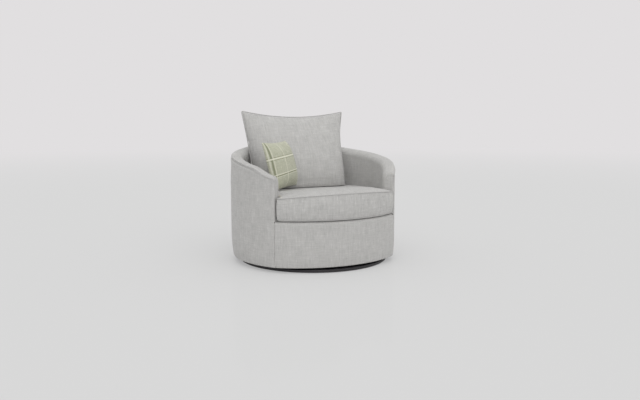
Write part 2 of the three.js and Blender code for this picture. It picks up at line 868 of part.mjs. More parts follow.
function outerCover() {
  return wallPiece(wallSections(0), (section) => {
    const top = weltHeight(section) - weltRadius - fitGap;
    const sheet = (depth) => [...hemLine(section.draw, depth), [depth, top]];
    return [...sheet(0), ...sheet(coverThickness).reverse()].map(([inset, z]) => [section.outer(inset), z]);
  });
}

function insideCover() {
  const start = barrelRadius - coverThickness - fitGap;
  return insideSheet(0, coverThickness, start, seatFloor, (place) => place.top);
}

function borderLine(inset) {
  const bend = (borderLip - inset) * Math.SQRT1_2;
  return [
    [inset, borderHeight - borderLip],
    [borderLip - bend, borderHeight - borderLip + bend],
    [borderLip, borderHeight - inset],
  ];
}

function borderCover() {
  return frontPiece([
    ...hemLine(frontDraw, 0),
    ...borderLine(0),
    [borderFlange, borderHeight],
    [borderFlange, borderHeight - coverThickness],
    ...borderLine(coverThickness).reverse(),
    ...hemLine(frontDraw, coverThickness).reverse(),
  ]);
}

function borderFoam() {
  const head = seatRailTop + 2 * fitGap;
  const drawn = hemLine(frontDraw, borderFoamFace).slice(1);
  return frontPiece([
    [borderFoamFace + frontDraw, boardBottom],
    ...drawn,
    ...borderLine(borderFoamFace),
    [frontPanelBack, borderHeight - borderFoamFace],
    [frontPanelBack, head],
    [frontPanelFace, head],
    [borderFoamBack, head],
    [borderFoamBack, (head + hemHeight + drawHeight) / 2],
    ...drawn.map(([, z]) => [borderFoamBack, z]).reverse(),
    [borderFoamBack, boardBottom],
  ]);
}

// Seat cushion

const mitreLimit = 0.5;
function offsetLine(points, distance) {
  const count = points.length;
  return points.map(([x, y], i) => {
    const [px, py] = points[(i + count - 1) % count];
    const [nx, ny] = points[(i + 1) % count];
    const before = new THREE.Vector2(y - py, px - x).normalize();
    const after = new THREE.Vector2(ny - y, x - nx).normalize();
    const mid = before.clone().add(after).normalize();
    const reach = distance / Math.max(mid.dot(after), mitreLimit);
    return [x + mid.x * reach, y + mid.y * reach];
  });
}

function roundCorner(...corners) {
  const [from, over, to] = corners.map(([x, y]) => new THREE.Vector2(x, y));
  return new THREE.QuadraticBezierCurve(from, over, to).getPoints(cornerSteps).map((p) => [p.x, p.y]);
}

// The T-shaped plan, anticlockwise from above, starting at the front centre
function seatOutline() {
  const reach = frontArcRadius + seatFrontLead;
  const along = new THREE.Vector2(Math.sin(seamAngle), -Math.cos(seamAngle));
  const ahead = new THREE.Vector2(-Math.cos(seamAngle), -Math.sin(seamAngle));
  const before = (distance, gap) => along.clone().multiplyScalar(distance).addScaledVector(ahead, gap);
  const heel = before(cornerLine, seatNotchGap);
  const way = before(barrelRadius, seatEarGap).sub(heel).normalize();
  const fromCentre = heel.clone().sub(new THREE.Vector2(0, frontArcCentre));
  const beside = fromCentre.dot(way);
  const run = Math.sqrt(beside ** 2 - fromCentre.lengthSq() + reach ** 2) - beside;
  const onLine = (distance) => heel.clone().addScaledVector(way, distance).toArray();
  const corner = onLine(run);
  const cornerTurn = Math.asin(corner[0] / reach) - seatEarRun / reach;
  const onArc = (turn) => [reach * Math.sin(turn), frontArcCentre - reach * Math.cos(turn)];
  const arc = Array.from({ length: seatArcSteps }, (_, i) => onArc((cornerTurn * i) / seatArcSteps));
  const ear = roundCorner(onArc(cornerTurn), corner, onLine(run - seatEarRun));
  const places = insidePlaces(barrelRadius);
  const notchGap = (depth) => THREE.MathUtils.lerp(seatNotchGap, seatSideGap, depth / armCornerRadius);
  const notch = places.filter((place) => !place.front).slice(0, cornerDepths.length);
  const inner = radialSections
    .filter((_, i) => i % 2 === 1)
    .map((section) => section.at(wallInner - seatSideGap, 0))
    .filter((point) => point.x > zipHalfLength + seatCornerRun && point.y < seatRearLine - seatCornerRun);
  const notchPoints = notch.map((place, i) => place.at(-notchGap(cornerDepths[i]))).map((p) => [p.x, p.y]);
  const innerPoints = inner.map((p) => [p.x, p.y]);
  const side = innerPoints[innerPoints.length - 1];
  const rearCorner = [Math.sqrt((wallInner - seatSideGap) ** 2 - seatRearLine ** 2), seatRearLine];
  const rear = roundCorner(side, rearCorner, [zipHalfLength + sliderLength, seatRearLine]).slice(1);
  const half = [...arc, ...ear, ...notchPoints, ...innerPoints, ...rear];
  const mirrored = half
    .slice(1)
    .reverse()
    .map(([x, y]) => [-x, y]);
  return [...half, ...mirrored];
}

const seatLine = seatOutline();

const seatRise = (y) => THREE.MathUtils.smoothstep(seatRiseStart - y, 0, seatRiseRun);
const earShare = (x, y) => seatRise(y) * (x / seatEarHalf) ** 2;
const seatSeam = (x, y) =>
  seatRearSeam + (seatFrontSeam - seatRearSeam) * seatRise(y) - seatEarDrop * earShare(x, y);
const seatLip = (x, y) => seatLipHeight + seatLipLift * earShare(x, y);
const seatDome = (x, y) =>
  seatRestHeight + (seatFrontTop - seatRestHeight) * seatRise(y) - (seatEarDrop * earShare(x, y)) / 2;

// One ring of the seat: the outline drawn in by an inset, then shrunk by a share, at a height for each point
function seatRing(inset, share, heightOf) {
  const line = offsetLine(seatLine, -inset);
  return line.map(([x, y], i) => {
    const px = x * share;
    const py = seatCentre + (y - seatCentre) * share;
    return new THREE.Vector3(px, py, heightOf(px, py, seatLine[i]));
  });
}

function ringSolid(rings, bottom, top) {
  const count = rings[0].length;
  const faces = [];
  rings.slice(1).forEach((_, r) => {
    for (let j = 0; j < count; j++) {
      const k = (j + 1) % count;
      const a = r * count;
      const b = a + count;
      faces.push([a + j, a + k, b + k], [a + j, b + k, b + j]);
    }
  });
  const last = (rings.length - 1) * count;
  const low = rings.length * count;
  for (let j = 0; j < count; j++) {
    const k = (j + 1) % count;
    faces.push([j, low, k], [last + j, last + k, low + 1]);
  }
  return surface([...rings.flat(), bottom, top], faces);
}

// The side's bulge between the seams, as shares of the seam's inset and of the side's height. Then the
// crown's rings, as shares of the outline's size and of the way out from the middle.
const seatBulgeShares = [[0.17, 0.3], [0, 0.55], [0.25, 0.8]];
const seatCrownShares = [[1, 0.96], [0.86, 0.83], [0.62, 0.6], [0.32, 0.3]];
const seatFloorShare = 0.9;
const seatFootShare = 0.96;
const seatCrownPower = 10;

function seatForm(shell) {
  const outer = shell === 0;
  const floor = () => seatFloor + shell;
  const wallAt = (share) => (x, y, [sx, sy]) => {
    const lip = seatLip(sx, sy) + shell;
    return lip + share * (seatSeam(sx, sy) - shell - lip);
  };
  const crown = (share) => (x, y, [sx, sy]) =>
    seatDome(x, y) - shell - share ** seatCrownPower * (seatDome(sx, sy) - seatSeam(sx, sy));
  const bulge = seatBulgeShares.map(([inset, height]) => seatRing(inset * seamInset, 1, wallAt(height)));
  const rings = [
    seatRing(seatRimInset, seatFloorShare, floor),
    seatRing(seatRimInset, seatFootShare, floor),
    seatRing(seamInset + shell, 1, wallAt(0)),
    ...(outer ? bulge : []),
    seatRing(seamInset + shell, 1, wallAt(1)),
    ...seatCrownShares.map(([size, reach]) => seatRing(seatRimInset, size, crown(reach))),
  ];
  const middle = (z) => new THREE.Vector3(0, seatCentre, z);
  return ringSolid(rings, middle(seatFloor + shell), middle(seatDome(0, seatCentre) - shell));
}

const zipHeight = seatLipHeight + (seatRearSeam - seatLipHeight) / 2;
const zipSlot = (gap, depth) =>
  box(2 * (zipHalfLength - gap), depth, zipWidth - 2 * gap, 0, seatRearLine - depth / 2, zipHeight);

function seatCover() {
  const slot = zipSlot(0, 2 * seatShell + overrun).translate(0, overrun / 2, 0);
  return cut(seatForm(0), seatForm(seatShell), slot);
}
const seatCore = () => seatForm(seatShell + facetGap);
const seatZip = () => zipSlot(fitGap, zipDepth).translate(0, -fitGap, 0);

function seatZipSlider() {
  const face = seatRearLine + fitGap + sliderThickness / 2;
  const x = zipHalfLength - sliderLength;
  const puller = box(sliderHeight / 2, pullThickness, pullLength, x, face, zipHeight - pullLength / 2);
  return join(box(sliderLength, sliderThickness, sliderHeight, x, face, zipHeight), puller);
}

function seatWelt(heightOf, lift) {
  const away = (seatWeltRadius + fitGap) * Math.SQRT1_2;
  const lines = weltTurns.map((turn) => {
    return offsetLine(seatLine, away - seamInset + seatWeltRadius * Math.cos(turn));
  });
  const rings = seatLine.map(([sx, sy], i) =>
    weltTurns.map((turn, t) => {
      const z = heightOf(sx, sy) + lift * away + seatWeltRadius * Math.sin(turn);
      return new THREE.Vector3(...lines[t][i], z);
    }),
  );
  return loft(rings, true);
}

// Pillows: a front and a back sheet over the same grid, sewn together at its edge

function pillow(us, vs, place) {
  const points = [];
  const index = new Map();
  const at = (i, j, face) => {
    const edge = i === 0 || j === 0 || i === us.length - 1 || j === vs.length - 1;
    const key = `${i} ${j} ${edge ? 0 : face}`;
    if (!index.has(key)) {
      index.set(key, points.length);
      points.push(place(us[i], vs[j], edge ? 0 : face));
    }
    return index.get(key);
  };
  const faces = [];
  for (let i = 0; i < us.length - 1; i++) {
    for (let j = 0; j < vs.length - 1; j++) {
      for (const face of [1, -1]) {
        const around = [at(i, j, face), at(i + 1, j, face), at(i + 1, j + 1, face), at(i, j + 1, face)];
        const rising = i < (us.length - 1) / 2 === j < (vs.length - 1) / 2;
        const [a, b, c, d] = rising ? around : [...around.slice(1), around[0]];
        faces.push(...(face > 0 ? [[a, b, c], [a, c, d]] : [[a, c, b], [a, d, c]]));
      }
    }
  }
  return surface(points, faces);
}

const hollowShare = 0.94;
const evenShares = (count) => Array.from({ length: count + 1 }, (_, i) => (2 * i) / count - 1);

function sample(shares, values, at) {
  const i = shares.findIndex((share) => share >= at);
  if (i <= 0) return values[0];
  const run = (at - shares[i - 1]) / (shares[i] - shares[i - 1]);
  return values[i - 1] + run * (values[i] - values[i - 1]);
}

// Back cushion: heights up the seam, and the depth in front of it and behind it at each, as shares
const backRowShares = [0, 0.006, 0.04, 0.1, 0.19, 0.31, 0.43, 0.55, 0.67, 0.79, 0.89, 0.96, 1];
const backFrontShares = [0, 0.8, 0.9, 1.01, 1.07, 1.07, 1.0, 0.9, 0.77, 0.59, 0.39, 0.2, 0];
const backRearShares = [0, 0.5, 0.75, 0.95, 1, 1, 0.95, 0.85, 0.7, 0.5, 0.32, 0.16, 0];
const backBottomPower = 8;
const backTopPower = 3;
const backRearPower = 2.2;
const backFrontFullness = 0.45;
const backRearFullness = 0.9;
const backLipShare = 0.05;
const backSagShare = 0.3;
const backRest = seatRestHeight + fitGap;

function backSeam(u, v) {
  const half = THREE.MathUtils.lerp(backHalfBottom, backHalfTop, v) - backSideDraw * (1 - (2 * v - 1) ** 2);
  const height = (backHeight - backTopDip * (1 - u * u)) * v;
  const share = height / backHeight;
  const y = backSeamNear + backSeamSlope * share - backSeamBow * share ** 2;
  return new THREE.Vector3(u * half, y, backRest + height);
}

// The way the cushion's front faces. The foot of its front panel sags straight down onto the seat.
function backAhead(z, sag = 1) {
  const share = (z - backRest) / backHeight;
  const lean = (sag * (backSeamSlope - 2 * backSeamBow * share)) / backHeight;
  return new THREE.Vector3(0, -1, lean).normalize();
}
const backSag = (z) => THREE.MathUtils.smoothstep(z - backRest, 0, backSagShare * backHeight);

const backMiddle = new THREE.Vector3(0, backSeamNear + backSeamSlope / 4, backRest + backHeight / 2);
function backPlace(shell) {
  return (u, v, face) => {
    const point = backSeam(u, v);
    if (face !== 0) {
      const square = face > 0 ? THREE.MathUtils.lerp(backBottomPower, backTopPower, v) : backRearPower;
      const across = (1 - Math.abs(u) ** square) ** (face > 0 ? backFrontFullness : backRearFullness);
      const up = sample(backRowShares, face > 0 ? backFrontShares : backRearShares, v);
      const depth = (face > 0 ? backFrontDepth : backRearDepth) * up * across;
      const ahead = face > 0 ? backAhead(point.z, backSag(point.z)) : backAhead(point.z);
      point.addScaledVector(ahead, face * Math.max(depth - shell, depth / 2));
    }
    point.sub(backMiddle).multiplyScalar(1 - shell / backHalfBottom).add(backMiddle);
    point.z = Math.max(point.z, backRest + shell);
    const reach = Math.hypot(point.x, point.y);
    const most = wallInner - 2 * facetGap - shell;
    if (point.z < rimFrontHeight + rimRise && reach > most) {
      point.x *= most / reach;
      point.y *= most / reach;
    }
    return point;
  };
}

const backForm = () => pillow(evenShares(backGrid), backRowShares, backPlace(0));
const backHollow = (shell) => {
  const us = evenShares(backHollowGrid).map((u) => u * hollowShare);
  const vs = backRowShares.filter((v) => v === 0 || v > backLipShare).map((v) => v * hollowShare);
  return pillow(us, vs, backPlace(shell));
};

function backZipSlot(gap, height) {
  const y = backSeamNear + backZipOffset;
  return box(2 * (zipHalfLength - gap), zipWidth - 2 * gap, height, 0, y, backRest + height / 2);
}
const backCover = () => {
  const slot = backZipSlot(0, 2 * backShell + overrun).translate(0, 0, -overrun / 2);
  return cut(backForm(), backHollow(backShell), slot);
};
const backFilling = () => backHollow(backShell + facetGap);
const backZip = () => backZipSlot(fitGap, zipDepth).translate(0, 0, fitGap);

// Piping up one side, along the top and down the other side, just outside the seam
function backPiping() {
  const away = backPipeRadius + fitGap;
  const rows = backRowShares.filter((v) => v > backLipShare && v < 1);
  const path = [
    ...rows.map((v) => backSeam(-1, v)),
    ...evenShares(backTopGrid).map((u) => backSeam(u, 1)),
    ...rows.map((v) => backSeam(1, v)).reverse(),
  ];
  const corners = [rows.length, path.length - 1 - rows.length];
  const rings = path.flatMap((point, i) => {
    const before = path[i - 1] ?? point;
    const after = path[i + 1] ?? point;
    const ahead = backAhead(point.z);
    const outFrom = (from, to) => new THREE.Vector3().crossVectors(ahead, to.clone().sub(from)).normalize();
    const turning = [outFrom(before, point), outFrom(before, after), outFrom(point, after)];
    const outs = corners.includes(i) ? turning : [outFrom(before, after)];
    return outs.map((out) =>
      weltTurns.map((turn) =>
        point
          .clone()
          .addScaledVector(out, away + backPipeRadius * Math.cos(turn))
          .addScaledVector(ahead, backPipeRadius * Math.sin(turn)),
      ),
    );
  });
  return loft(rings);
}

// Scatter cushion, stood in the left corner of the seat and leaning back

const scatterPower = 3;
const scatterFullness = 0.55;
const scatterTurn = new THREE.Matrix4()
  .makeRotationZ(scatterYaw)
  .multiply(new THREE.Matrix4().makeRotationX(-scatterLean))
  .multiply(new THREE.Matrix4().makeRotationY(-scatterRoll));

function scatterPlace(shell) {
  return (u, v, face) => {
    const drawn = (w) => scatterSize / 2 - scatterDraw * (1 - w * w);
    const x = u * drawn(v);
    const z = v * drawn(u);
    const full = face > 0 ? scatterFrontDepth : scatterRearDepth;
    const across = (1 - Math.abs(u) ** scatterPower) * (1 - Math.abs(v) ** scatterPower);
    const depth = full * across ** scatterFullness;
    const y = -face * Math.max(depth - shell, depth / 2);
    return new THREE.Vector3(x, y, z).multiplyScalar(1 - (2 * shell) / scatterSize).applyMatrix4(scatterTurn);
  };
}

const scatterForm = () => pillow(evenShares(scatterGrid), evenShares(scatterGrid), scatterPlace(0));
const scatterHollow = (shell) => {
  const shares = evenShares(scatterHollowGrid).map((share) => share * hollowShare);
  return pillow(shares, shares, scatterPlace(shell));
};

function scatterSlot(gap, height) {
  const half = scatterSize / 2 - scatterDraw;
  return box(2 * (scatterZipHalfLength - gap), scatterZipWidth - 2 * gap, height, 0, 0, height / 2 - half)
    .applyMatrix4(scatterTurn);
}

// How far a shape has to be lifted to stand just clear of the seat below it
function liftOnto(below, above) {
  const ray = new THREE.Raycaster();
  const both = new THREE.MeshBasicMaterial({ side: THREE.DoubleSide });
  const lower = new THREE.Mesh(below, both);
  const upper = new THREE.Mesh(above, both);
  const far = 2 * (rimFrontHeight + rimRise);
  const cast = (from, onto, way, places) => {
    const gaps = [];
    for (let i = 0; i < places.count; i++) {
      ray.set(new THREE.Vector3(places.getX(i), places.getY(i), from), new THREE.Vector3(0, 0, way));
      const [hit] = ray.intersectObject(onto);
      if (hit) gaps.push(way < 0 ? hit.point.z - places.getZ(i) : places.getZ(i) - hit.point.z);
    }
    return gaps;
  };
  const down = cast(far, lower, -1, above.attributes.position);
  const up = cast(-far, upper, 1, below.attributes.position);
  return Math.max(...down, ...up) + 2 * fitGap;
}

// The assembly

const group = (...pieces) => new THREE.Group().add(...pieces);

const base = group(
  mesh("base_floor_pad", floorPad(), felt),
  mesh("base_plinth", plinth(), charcoal),
  mesh("swivel_lower_plate", lowerPlate(), steel),
  mesh("swivel_pivot_pin", pivotPin(), steel),
  mesh("swivel_ball_cage", ballCage(), steel),
  ...quarterTurns.map((k) => mesh(`lower_plate_screw_${k + 1}`, lowerScrew(k), zinc)),
);

const frame = group(
  mesh("swivel_upper_plate", upperPlate(), steel),
  ...quarterTurns.map((k) => mesh(`upper_plate_bolt_${k + 1}`, upperBolt(k), zinc)),
  mesh("frame_bottom_board", bottomBoard(), timber),
  mesh("frame_front_panel", frontPanel(), timber),
  mesh("frame_front_seat_rail", frontSeatRail(), timber),
  mesh("frame_side_seat_rail_right", sideSeatRail(1), timber),
  mesh("frame_side_seat_rail_left", sideSeatRail(-1), timber),
  mesh("frame_rear_seat_rail", rearSeatRail(), timber),
  mesh("frame_rear_rail_support", rearRailSupport(), timber),
  mesh("frame_top_rail", topRail(), timber),
  mesh("frame_arm_front_post_right", armFrontPost(1), timber),
  mesh("frame_arm_front_post_left", armFrontPost(-1), timber),
  ...postFacets.map((facet, i) => mesh(`frame_wall_post_${i + 1}`, wallPost(facet), timber)),
  mesh("outer_back_panel", outerPanel(), hardboard),
  mesh("inner_back_panel", innerPanel(), hardboard),
);

const deck = group(
  ...springPlaces().map((x, i) => mesh(`seat_spring_${i + 1}`, spring(x), steel)),
  mesh("spring_hold_down_front", frontHoldDown(), steel),
  mesh("spring_hold_down_rear", rearHoldDown(), steel),
  mesh("deck_pad", deckPad(), fibre),
  mesh("deck_cloth", deckCloth(), upholstery),
  mesh("dust_cover", dustCover(), blackCloth),
);

const covers = group(
  mesh("wall_foam", wallFoam(), foam),
  mesh("rim_foam", rimFoam(), foam),
  mesh("border_foam", borderFoam(), foam),
  mesh("inside_cover", insideCover(), upholstery),
  mesh("outside_cover", outerCover(), upholstery),
  mesh("rim_cover", rimCover(), upholstery),
  mesh("rim_welt", rimWelt(), upholstery),
  mesh("front_border_cover", borderCover(), upholstery),
);

const seatCoverGeometry = seatCover();
const seatCushion = group(
  mesh("seat_cushion_cover", seatCoverGeometry, upholstery),
  mesh("seat_cushion_foam", seatCore(), foam),
  mesh("seat_cushion_top_welt", seatWelt(seatSeam, 1), upholstery),
  mesh("seat_cushion_bottom_welt", seatWelt(seatLip, -1), upholstery),
  mesh("seat_cushion_zip", seatZip(), nylon),
  mesh("seat_cushion_zip_slider", seatZipSlider(), zinc),
);

const backCushion = group(
  mesh("back_cushion_cover", backCover(), upholstery),
  mesh("back_cushion_filling", backFilling(), fibre),
  mesh("back_cushion_piping", backPiping(), upholstery),
  mesh("back_cushion_zip", backZip(), nylon),
);

const scatterSlotTool = scatterSlot(0, 2 * scatterShell + overrun);
const scatterCushion = group(
  mesh("scatter_cushion_cover", cut(scatterForm(), scatterHollow(scatterShell), scatterSlotTool), sage),
  mesh("scatter_cushion_filling", scatterHollow(scatterShell + facetGap), fibre),
);
scatterCushion.position.set(scatterX, scatterY, 0);
scatterCushion.position.z = liftOnto(seatCoverGeometry, scatterForm().translate(scatterX, scatterY, 0));

const chair = group(base, frame, deck, covers, seatCushion, backCushion, scatterCushion);

export default chair;
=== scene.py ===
"""A swivel cuddle chair, dressed for rendering: covers, loose cushions, plinth and finishes round its frame."""

import json
import math

import bmesh
import bpy
import numpy as np
from bpy.props import FloatProperty, FloatVectorProperty, PointerProperty
from mathutils import Matrix, Vector
from mathutils.bvhtree import BVHTree


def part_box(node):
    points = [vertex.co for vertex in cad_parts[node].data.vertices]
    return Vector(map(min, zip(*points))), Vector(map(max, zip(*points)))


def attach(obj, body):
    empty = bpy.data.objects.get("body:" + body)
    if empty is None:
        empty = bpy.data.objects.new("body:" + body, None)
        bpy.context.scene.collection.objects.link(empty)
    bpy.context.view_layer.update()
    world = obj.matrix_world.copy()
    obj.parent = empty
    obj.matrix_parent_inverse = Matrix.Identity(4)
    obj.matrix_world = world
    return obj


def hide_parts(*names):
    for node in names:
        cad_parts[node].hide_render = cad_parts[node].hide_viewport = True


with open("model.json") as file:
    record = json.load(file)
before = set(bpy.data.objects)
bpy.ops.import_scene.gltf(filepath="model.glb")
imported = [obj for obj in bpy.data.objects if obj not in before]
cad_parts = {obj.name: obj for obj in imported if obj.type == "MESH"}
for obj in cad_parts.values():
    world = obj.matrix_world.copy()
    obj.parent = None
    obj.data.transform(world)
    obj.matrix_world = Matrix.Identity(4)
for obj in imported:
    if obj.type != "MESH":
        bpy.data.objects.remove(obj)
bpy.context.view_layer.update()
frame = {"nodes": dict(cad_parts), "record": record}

bl_info = {
    "name": "Swivel cuddle chair",
    "version": (1, 0, 0),
    "blender": (4, 5, 0),
    "location": "3D View > Sidebar > Cuddle chair",
    "description": "Builds the chair's covers, cushions, plinth and finishes round its packed frame",
    "category": "Add Mesh",
}


# Properties


def length(name, description, default):
    return FloatProperty(
        name=name, description=description, default=default, unit="LENGTH", subtype="DISTANCE", precision=4
    )


def turn(name, description, degrees):
    return FloatProperty(
        name=name, description=description, default=math.radians(degrees), subtype="ANGLE"
    )


def share(name, description, default):
    return FloatProperty(name=name, description=description, default=default)


def colour(name, description, red, green, blue):
    def linear(value):
        value /= 255
        return value / 12.92 if value <= 0.04045 else ((value + 0.055) / 1.055) ** 2.4

    return FloatVectorProperty(
        name=name,
        description=description,
        default=(linear(red), linear(green), linear(blue)),
        subtype="COLOR",
        min=0.0,
        max=1.0,
    )


class BarrelSizes(bpy.types.PropertyGroup):
    radius: length("Radius", "Outside radius of the barrel", 0.530)
    wall: length("Wall", "Thickness of the padded wall", 0.080)
    seam_angle: turn("Seam angle", "Angle from the front to each arm's front seam", 50)
    corner: length("Arm corner", "Radius of each arm front's inner corner", 0.035)
    reach: length("Front reach", "How far the front border stands ahead of the swivel axis", 0.474)
    hem: length("Hem", "Height of the hem over the floor", 0.032)
    hem_draw: length("Hem draw", "How far the hem is drawn in at the sides and back", 0.009)
    front_draw: length("Front hem draw", "How far the hem is drawn in at the front", 0.005)
    draw_height: length("Draw height", "Height over which the hem is drawn in", 0.100)
    belly: length("Belly", "How far the padding swells the outside between its seams", 0.0045)
    groove: length("Rim groove", "Depth of the groove along the rim's outer seam", 0.0060)
    hem_turn: length("Hem turn", "How far the hem is turned under the board", 0.012)
    hem_round: length("Hem round", "Radius of the hem's bottom edge", 0.0045)
    seam_round: length("Seam round", "How far each cover's edge turns in at a front seam", 0.0022)
    border: length("Border", "Height of the front border", 0.305)
    lip: length("Border lip", "Radius of the border's top edge", 0.018)
    flange: length("Border flange", "Depth of the border cloth on top of the rail", 0.045)
    rim: length("Rim at the front", "Height of the rim over the arm fronts", 0.567)
    rise: length("Rim rise", "How much higher the rim is at the back", 0.173)
    rim_swell: length("Rim swell", "How far the rim swells over its even rise behind the arm fronts", 0.027)
    crown: length("Rim crown", "How far the padding lifts the middle of the rim", 0.003)
    outer_shoulder: length("Outer shoulder", "Radius of the rim's outer edge", 0.012)
    inner_shoulder: length("Inner shoulder", "Radius of the rim's inner edge", 0.040)
    roll: length("Front roll", "Radius of the rim's roll over the arm front", 0.014)
    edge: length("Front edge", "Radius of the rim's edge round the arm front", 0.006)
    band: length("Front band", "Width of the rim cloth turned down on the arm front", 0.007)
    welt: length("Welt", "Radius of the welt under the rim", 0.0022)
    cloth: length("Cloth", "Thickness of the upholstery cloth", 0.0018)
    seam_gap: length("Seam gap", "Room kept between two covers at a seam", 0.0003)
    seat_floor: length("Seat floor", "Height where the seat cushion stands on the deck", 0.3053)
    deck_inset: length("Deck inset", "How far the deck cloth stands behind the arm fronts' faces", 0.0133)
    cover_hole: length("Dust cover hole", "Radius of the dust cover's hole round the bearing", 0.222)
    cover_sag: length("Dust cover sag", "How far the dust cover sags between its staples", 0.0016)
    staple: length("Staple", "Width of each staple", 0.011)
    staple_wire: length("Staple wire", "Thickness of the staples' wire", 0.0007)
    staple_step: length("Staple step", "Distance between two staples", 0.045)
    staple_inset: length("Staple inset", "How far the staples stand inside the dust cover's edge", 0.008)


class SeatSizes(bpy.types.PropertyGroup):
    front_lead: length("Front lead", "How far the cushion stands ahead of the border's face", 0.004)
    side_gap: length("Side gap", "Room between the cushion and the wall", 0.001)
    notch_gap: length("Notch gap", "Room between the cushion and each arm front at its inner corner", 0.008)
    ear_gap: length("Ear gap", "Room between the cushion's ears and the arm fronts at the outside", 0.010)
    tilt: share("Tilt", "How much the filling stands higher towards the sitter's left, per metre", 0.011)
    rear: length("Rear line", "Distance of the flat rear side from the swivel axis", 0.395)
    ear_run: length("Ear run", "Length of each front corner's rounding", 0.012)
    rear_run: length("Rear run", "Length of each rear corner's rounding", 0.024)
    front_seam: length("Front seam", "Height of the top seam at the front", 0.464)
    rear_seam: length("Rear seam", "Height of the top seam at the rear", 0.430)
    front_top: length("Front crown", "Height of the crown at the front", 0.472)
    rest: length("Rest height", "Height of the seat under the back cushion", 0.446)
    ear_drop: length("Ear drop", "How much lower the crown is at the ears", 0.020)
    lip: length("Lip", "Height of the bottom seam", 0.317)
    lip_lift: length("Lip lift", "How much higher the bottom seam is at the ears", 0.004)
    ear_half: length("Ear half width", "Half the width across the ears", 0.390)
    rise_start: length("Rise start", "Where the seat starts to rise towards the front", 0.050)
    rise_run: length("Rise run", "Distance over which the seat rises", 0.350)
    centre: length("Centre", "Middle of the crown along the depth", -0.150)
    seam_inset: length("Seam inset", "How far each seam lies inside the bulging side", 0.0045)
    undercut: share("Undercut", "Size of the cushion's foot against the plan over it", 0.960)
    rim_inset: length("Rim inset", "Where the crown meets the top seam's roll", 0.014)
    back_room: length("Back room", "How far the filled seat stays under the back cushion's foot", 0.0014)
    welt: length("Welt", "Radius of the cushion's welts", 0.0018)
    zip_half: length("Half zip", "Half the length of the zip", 0.1497)
    zip_width: length("Zip width", "Width of the zip's tape", 0.0054)


class BackSizes(bpy.types.PropertyGroup):
    height: length("Height", "Height of the cushion at its corners", 0.506)
    half_bottom: length("Half bottom", "Half the width at the seat", 0.322)
    half_top: length("Half top", "Half the width at the top corners", 0.370)
    side_draw: length("Side draw", "How far the sides pull in between the corners", 0.012)
    top_dip: length("Top dip", "How far the top edge dips between the corners", 0.038)
    near: length("Foot", "Where the side seams meet the seat, behind the swivel axis", 0.205)
    slope: length("Slope", "How far the top leans back before the bow", 0.205)
    bow: length("Bow", "How far the cushion bows forward at the top", 0.080)
    front: length("Front depth", "Fullness in front of the seam", 0.135)
    rear_depth: length("Rear depth", "Fullness behind the seam", 0.105)
    rest: length("Rest", "Height where the cushion stands on the seat", 0.4463)
    sag: share("Sag", "How far the foot of the front drops onto the seat, as a share of its lean", 1.0)
    pipe: length("Piping", "Radius of the piping", 0.0036)
    gap: length("Piping gap", "Room between the seam and the piping's cord", 0.0003)


class ScatterSizes(bpy.types.PropertyGroup):
    size: length("Size", "Side of the square cushion", 0.307)
    draw: length("Draw", "How far each side pulls in between the corners", 0.009)
    front: length("Front depth", "Fullness in front of the seam", 0.075)
    rear: length("Rear depth", "Fullness behind the seam", 0.028)
    x: length("X", "Place across the seat", -0.238)
    y: length("Y", "Place along the depth", -0.008)
    yaw: turn("Yaw", "Turn towards the middle of the seat", 39)
    lean: turn("Lean", "Lean against the back cushion", 14)
    roll: turn("Roll", "Roll onto its left corner", 3.5)
    lop: length("Lop", "How far the top's left corner is drawn in and up, and its right corner down", 0.006)


class BaseSizes(bpy.types.PropertyGroup):
    pad: length("Pad", "Radius of the felt floor pad", 0.455)
    pad_top: length("Pad top", "Height of the felt pad", 0.003)
    plinth: length("Plinth", "Radius of the plinth", 0.478)
    edge: length("Edge", "Radius of the plinth's edges", 0.003)
    recess: length("Recess", "Radius of the recess under the pivot pin's head", 0.017)
    recess_depth: length("Recess depth", "Depth of the recess under the pivot pin's head", 0.0033)


class Finishes(bpy.types.PropertyGroup):
    cloth: colour("Upholstery", "The plain grey cloth", 184, 183, 181)
    cloth_dark: colour("Upholstery shade", "Its darker threads", 150, 149, 148)
    cloth_light: colour("Upholstery light", "Its lighter threads", 214, 213, 211)
    sage: colour("Sage", "The scatter cushion's ground", 184, 185, 166)
    sage_dark: colour("Dark line", "The darker lines of the check", 130, 134, 108)
    cream: colour("Cream", "The light lines of the check", 224, 223, 206)
    plinth: colour("Plinth", "Satin lacquer on the plinth", 38, 36, 39)
    felt: colour("Felt", "The floor pad", 58, 57, 59)
    timber: colour("Timber", "Raw softwood and plywood", 205, 172, 124)
    board: colour("Fibreboard", "The pressed panels", 140, 108, 76)
    foam: colour("Foam", "The cushion core and padding", 232, 222, 190)
    wadding: colour("Wadding", "The fibre fillings", 232, 230, 226)
    black: colour("Underlining", "The black cloth under the frame", 38, 38, 40)
    steel: colour("Bearing", "Zinc plated pressed steel", 186, 189, 192)
    wire: colour("Spring wire", "Oiled drawn wire", 112, 114, 118)
    nylon: colour("Zip", "The zip's tape and coil", 150, 149, 146)
    thread: share("Thread", "Distance between two threads of the cloth, in metres", 0.0014)


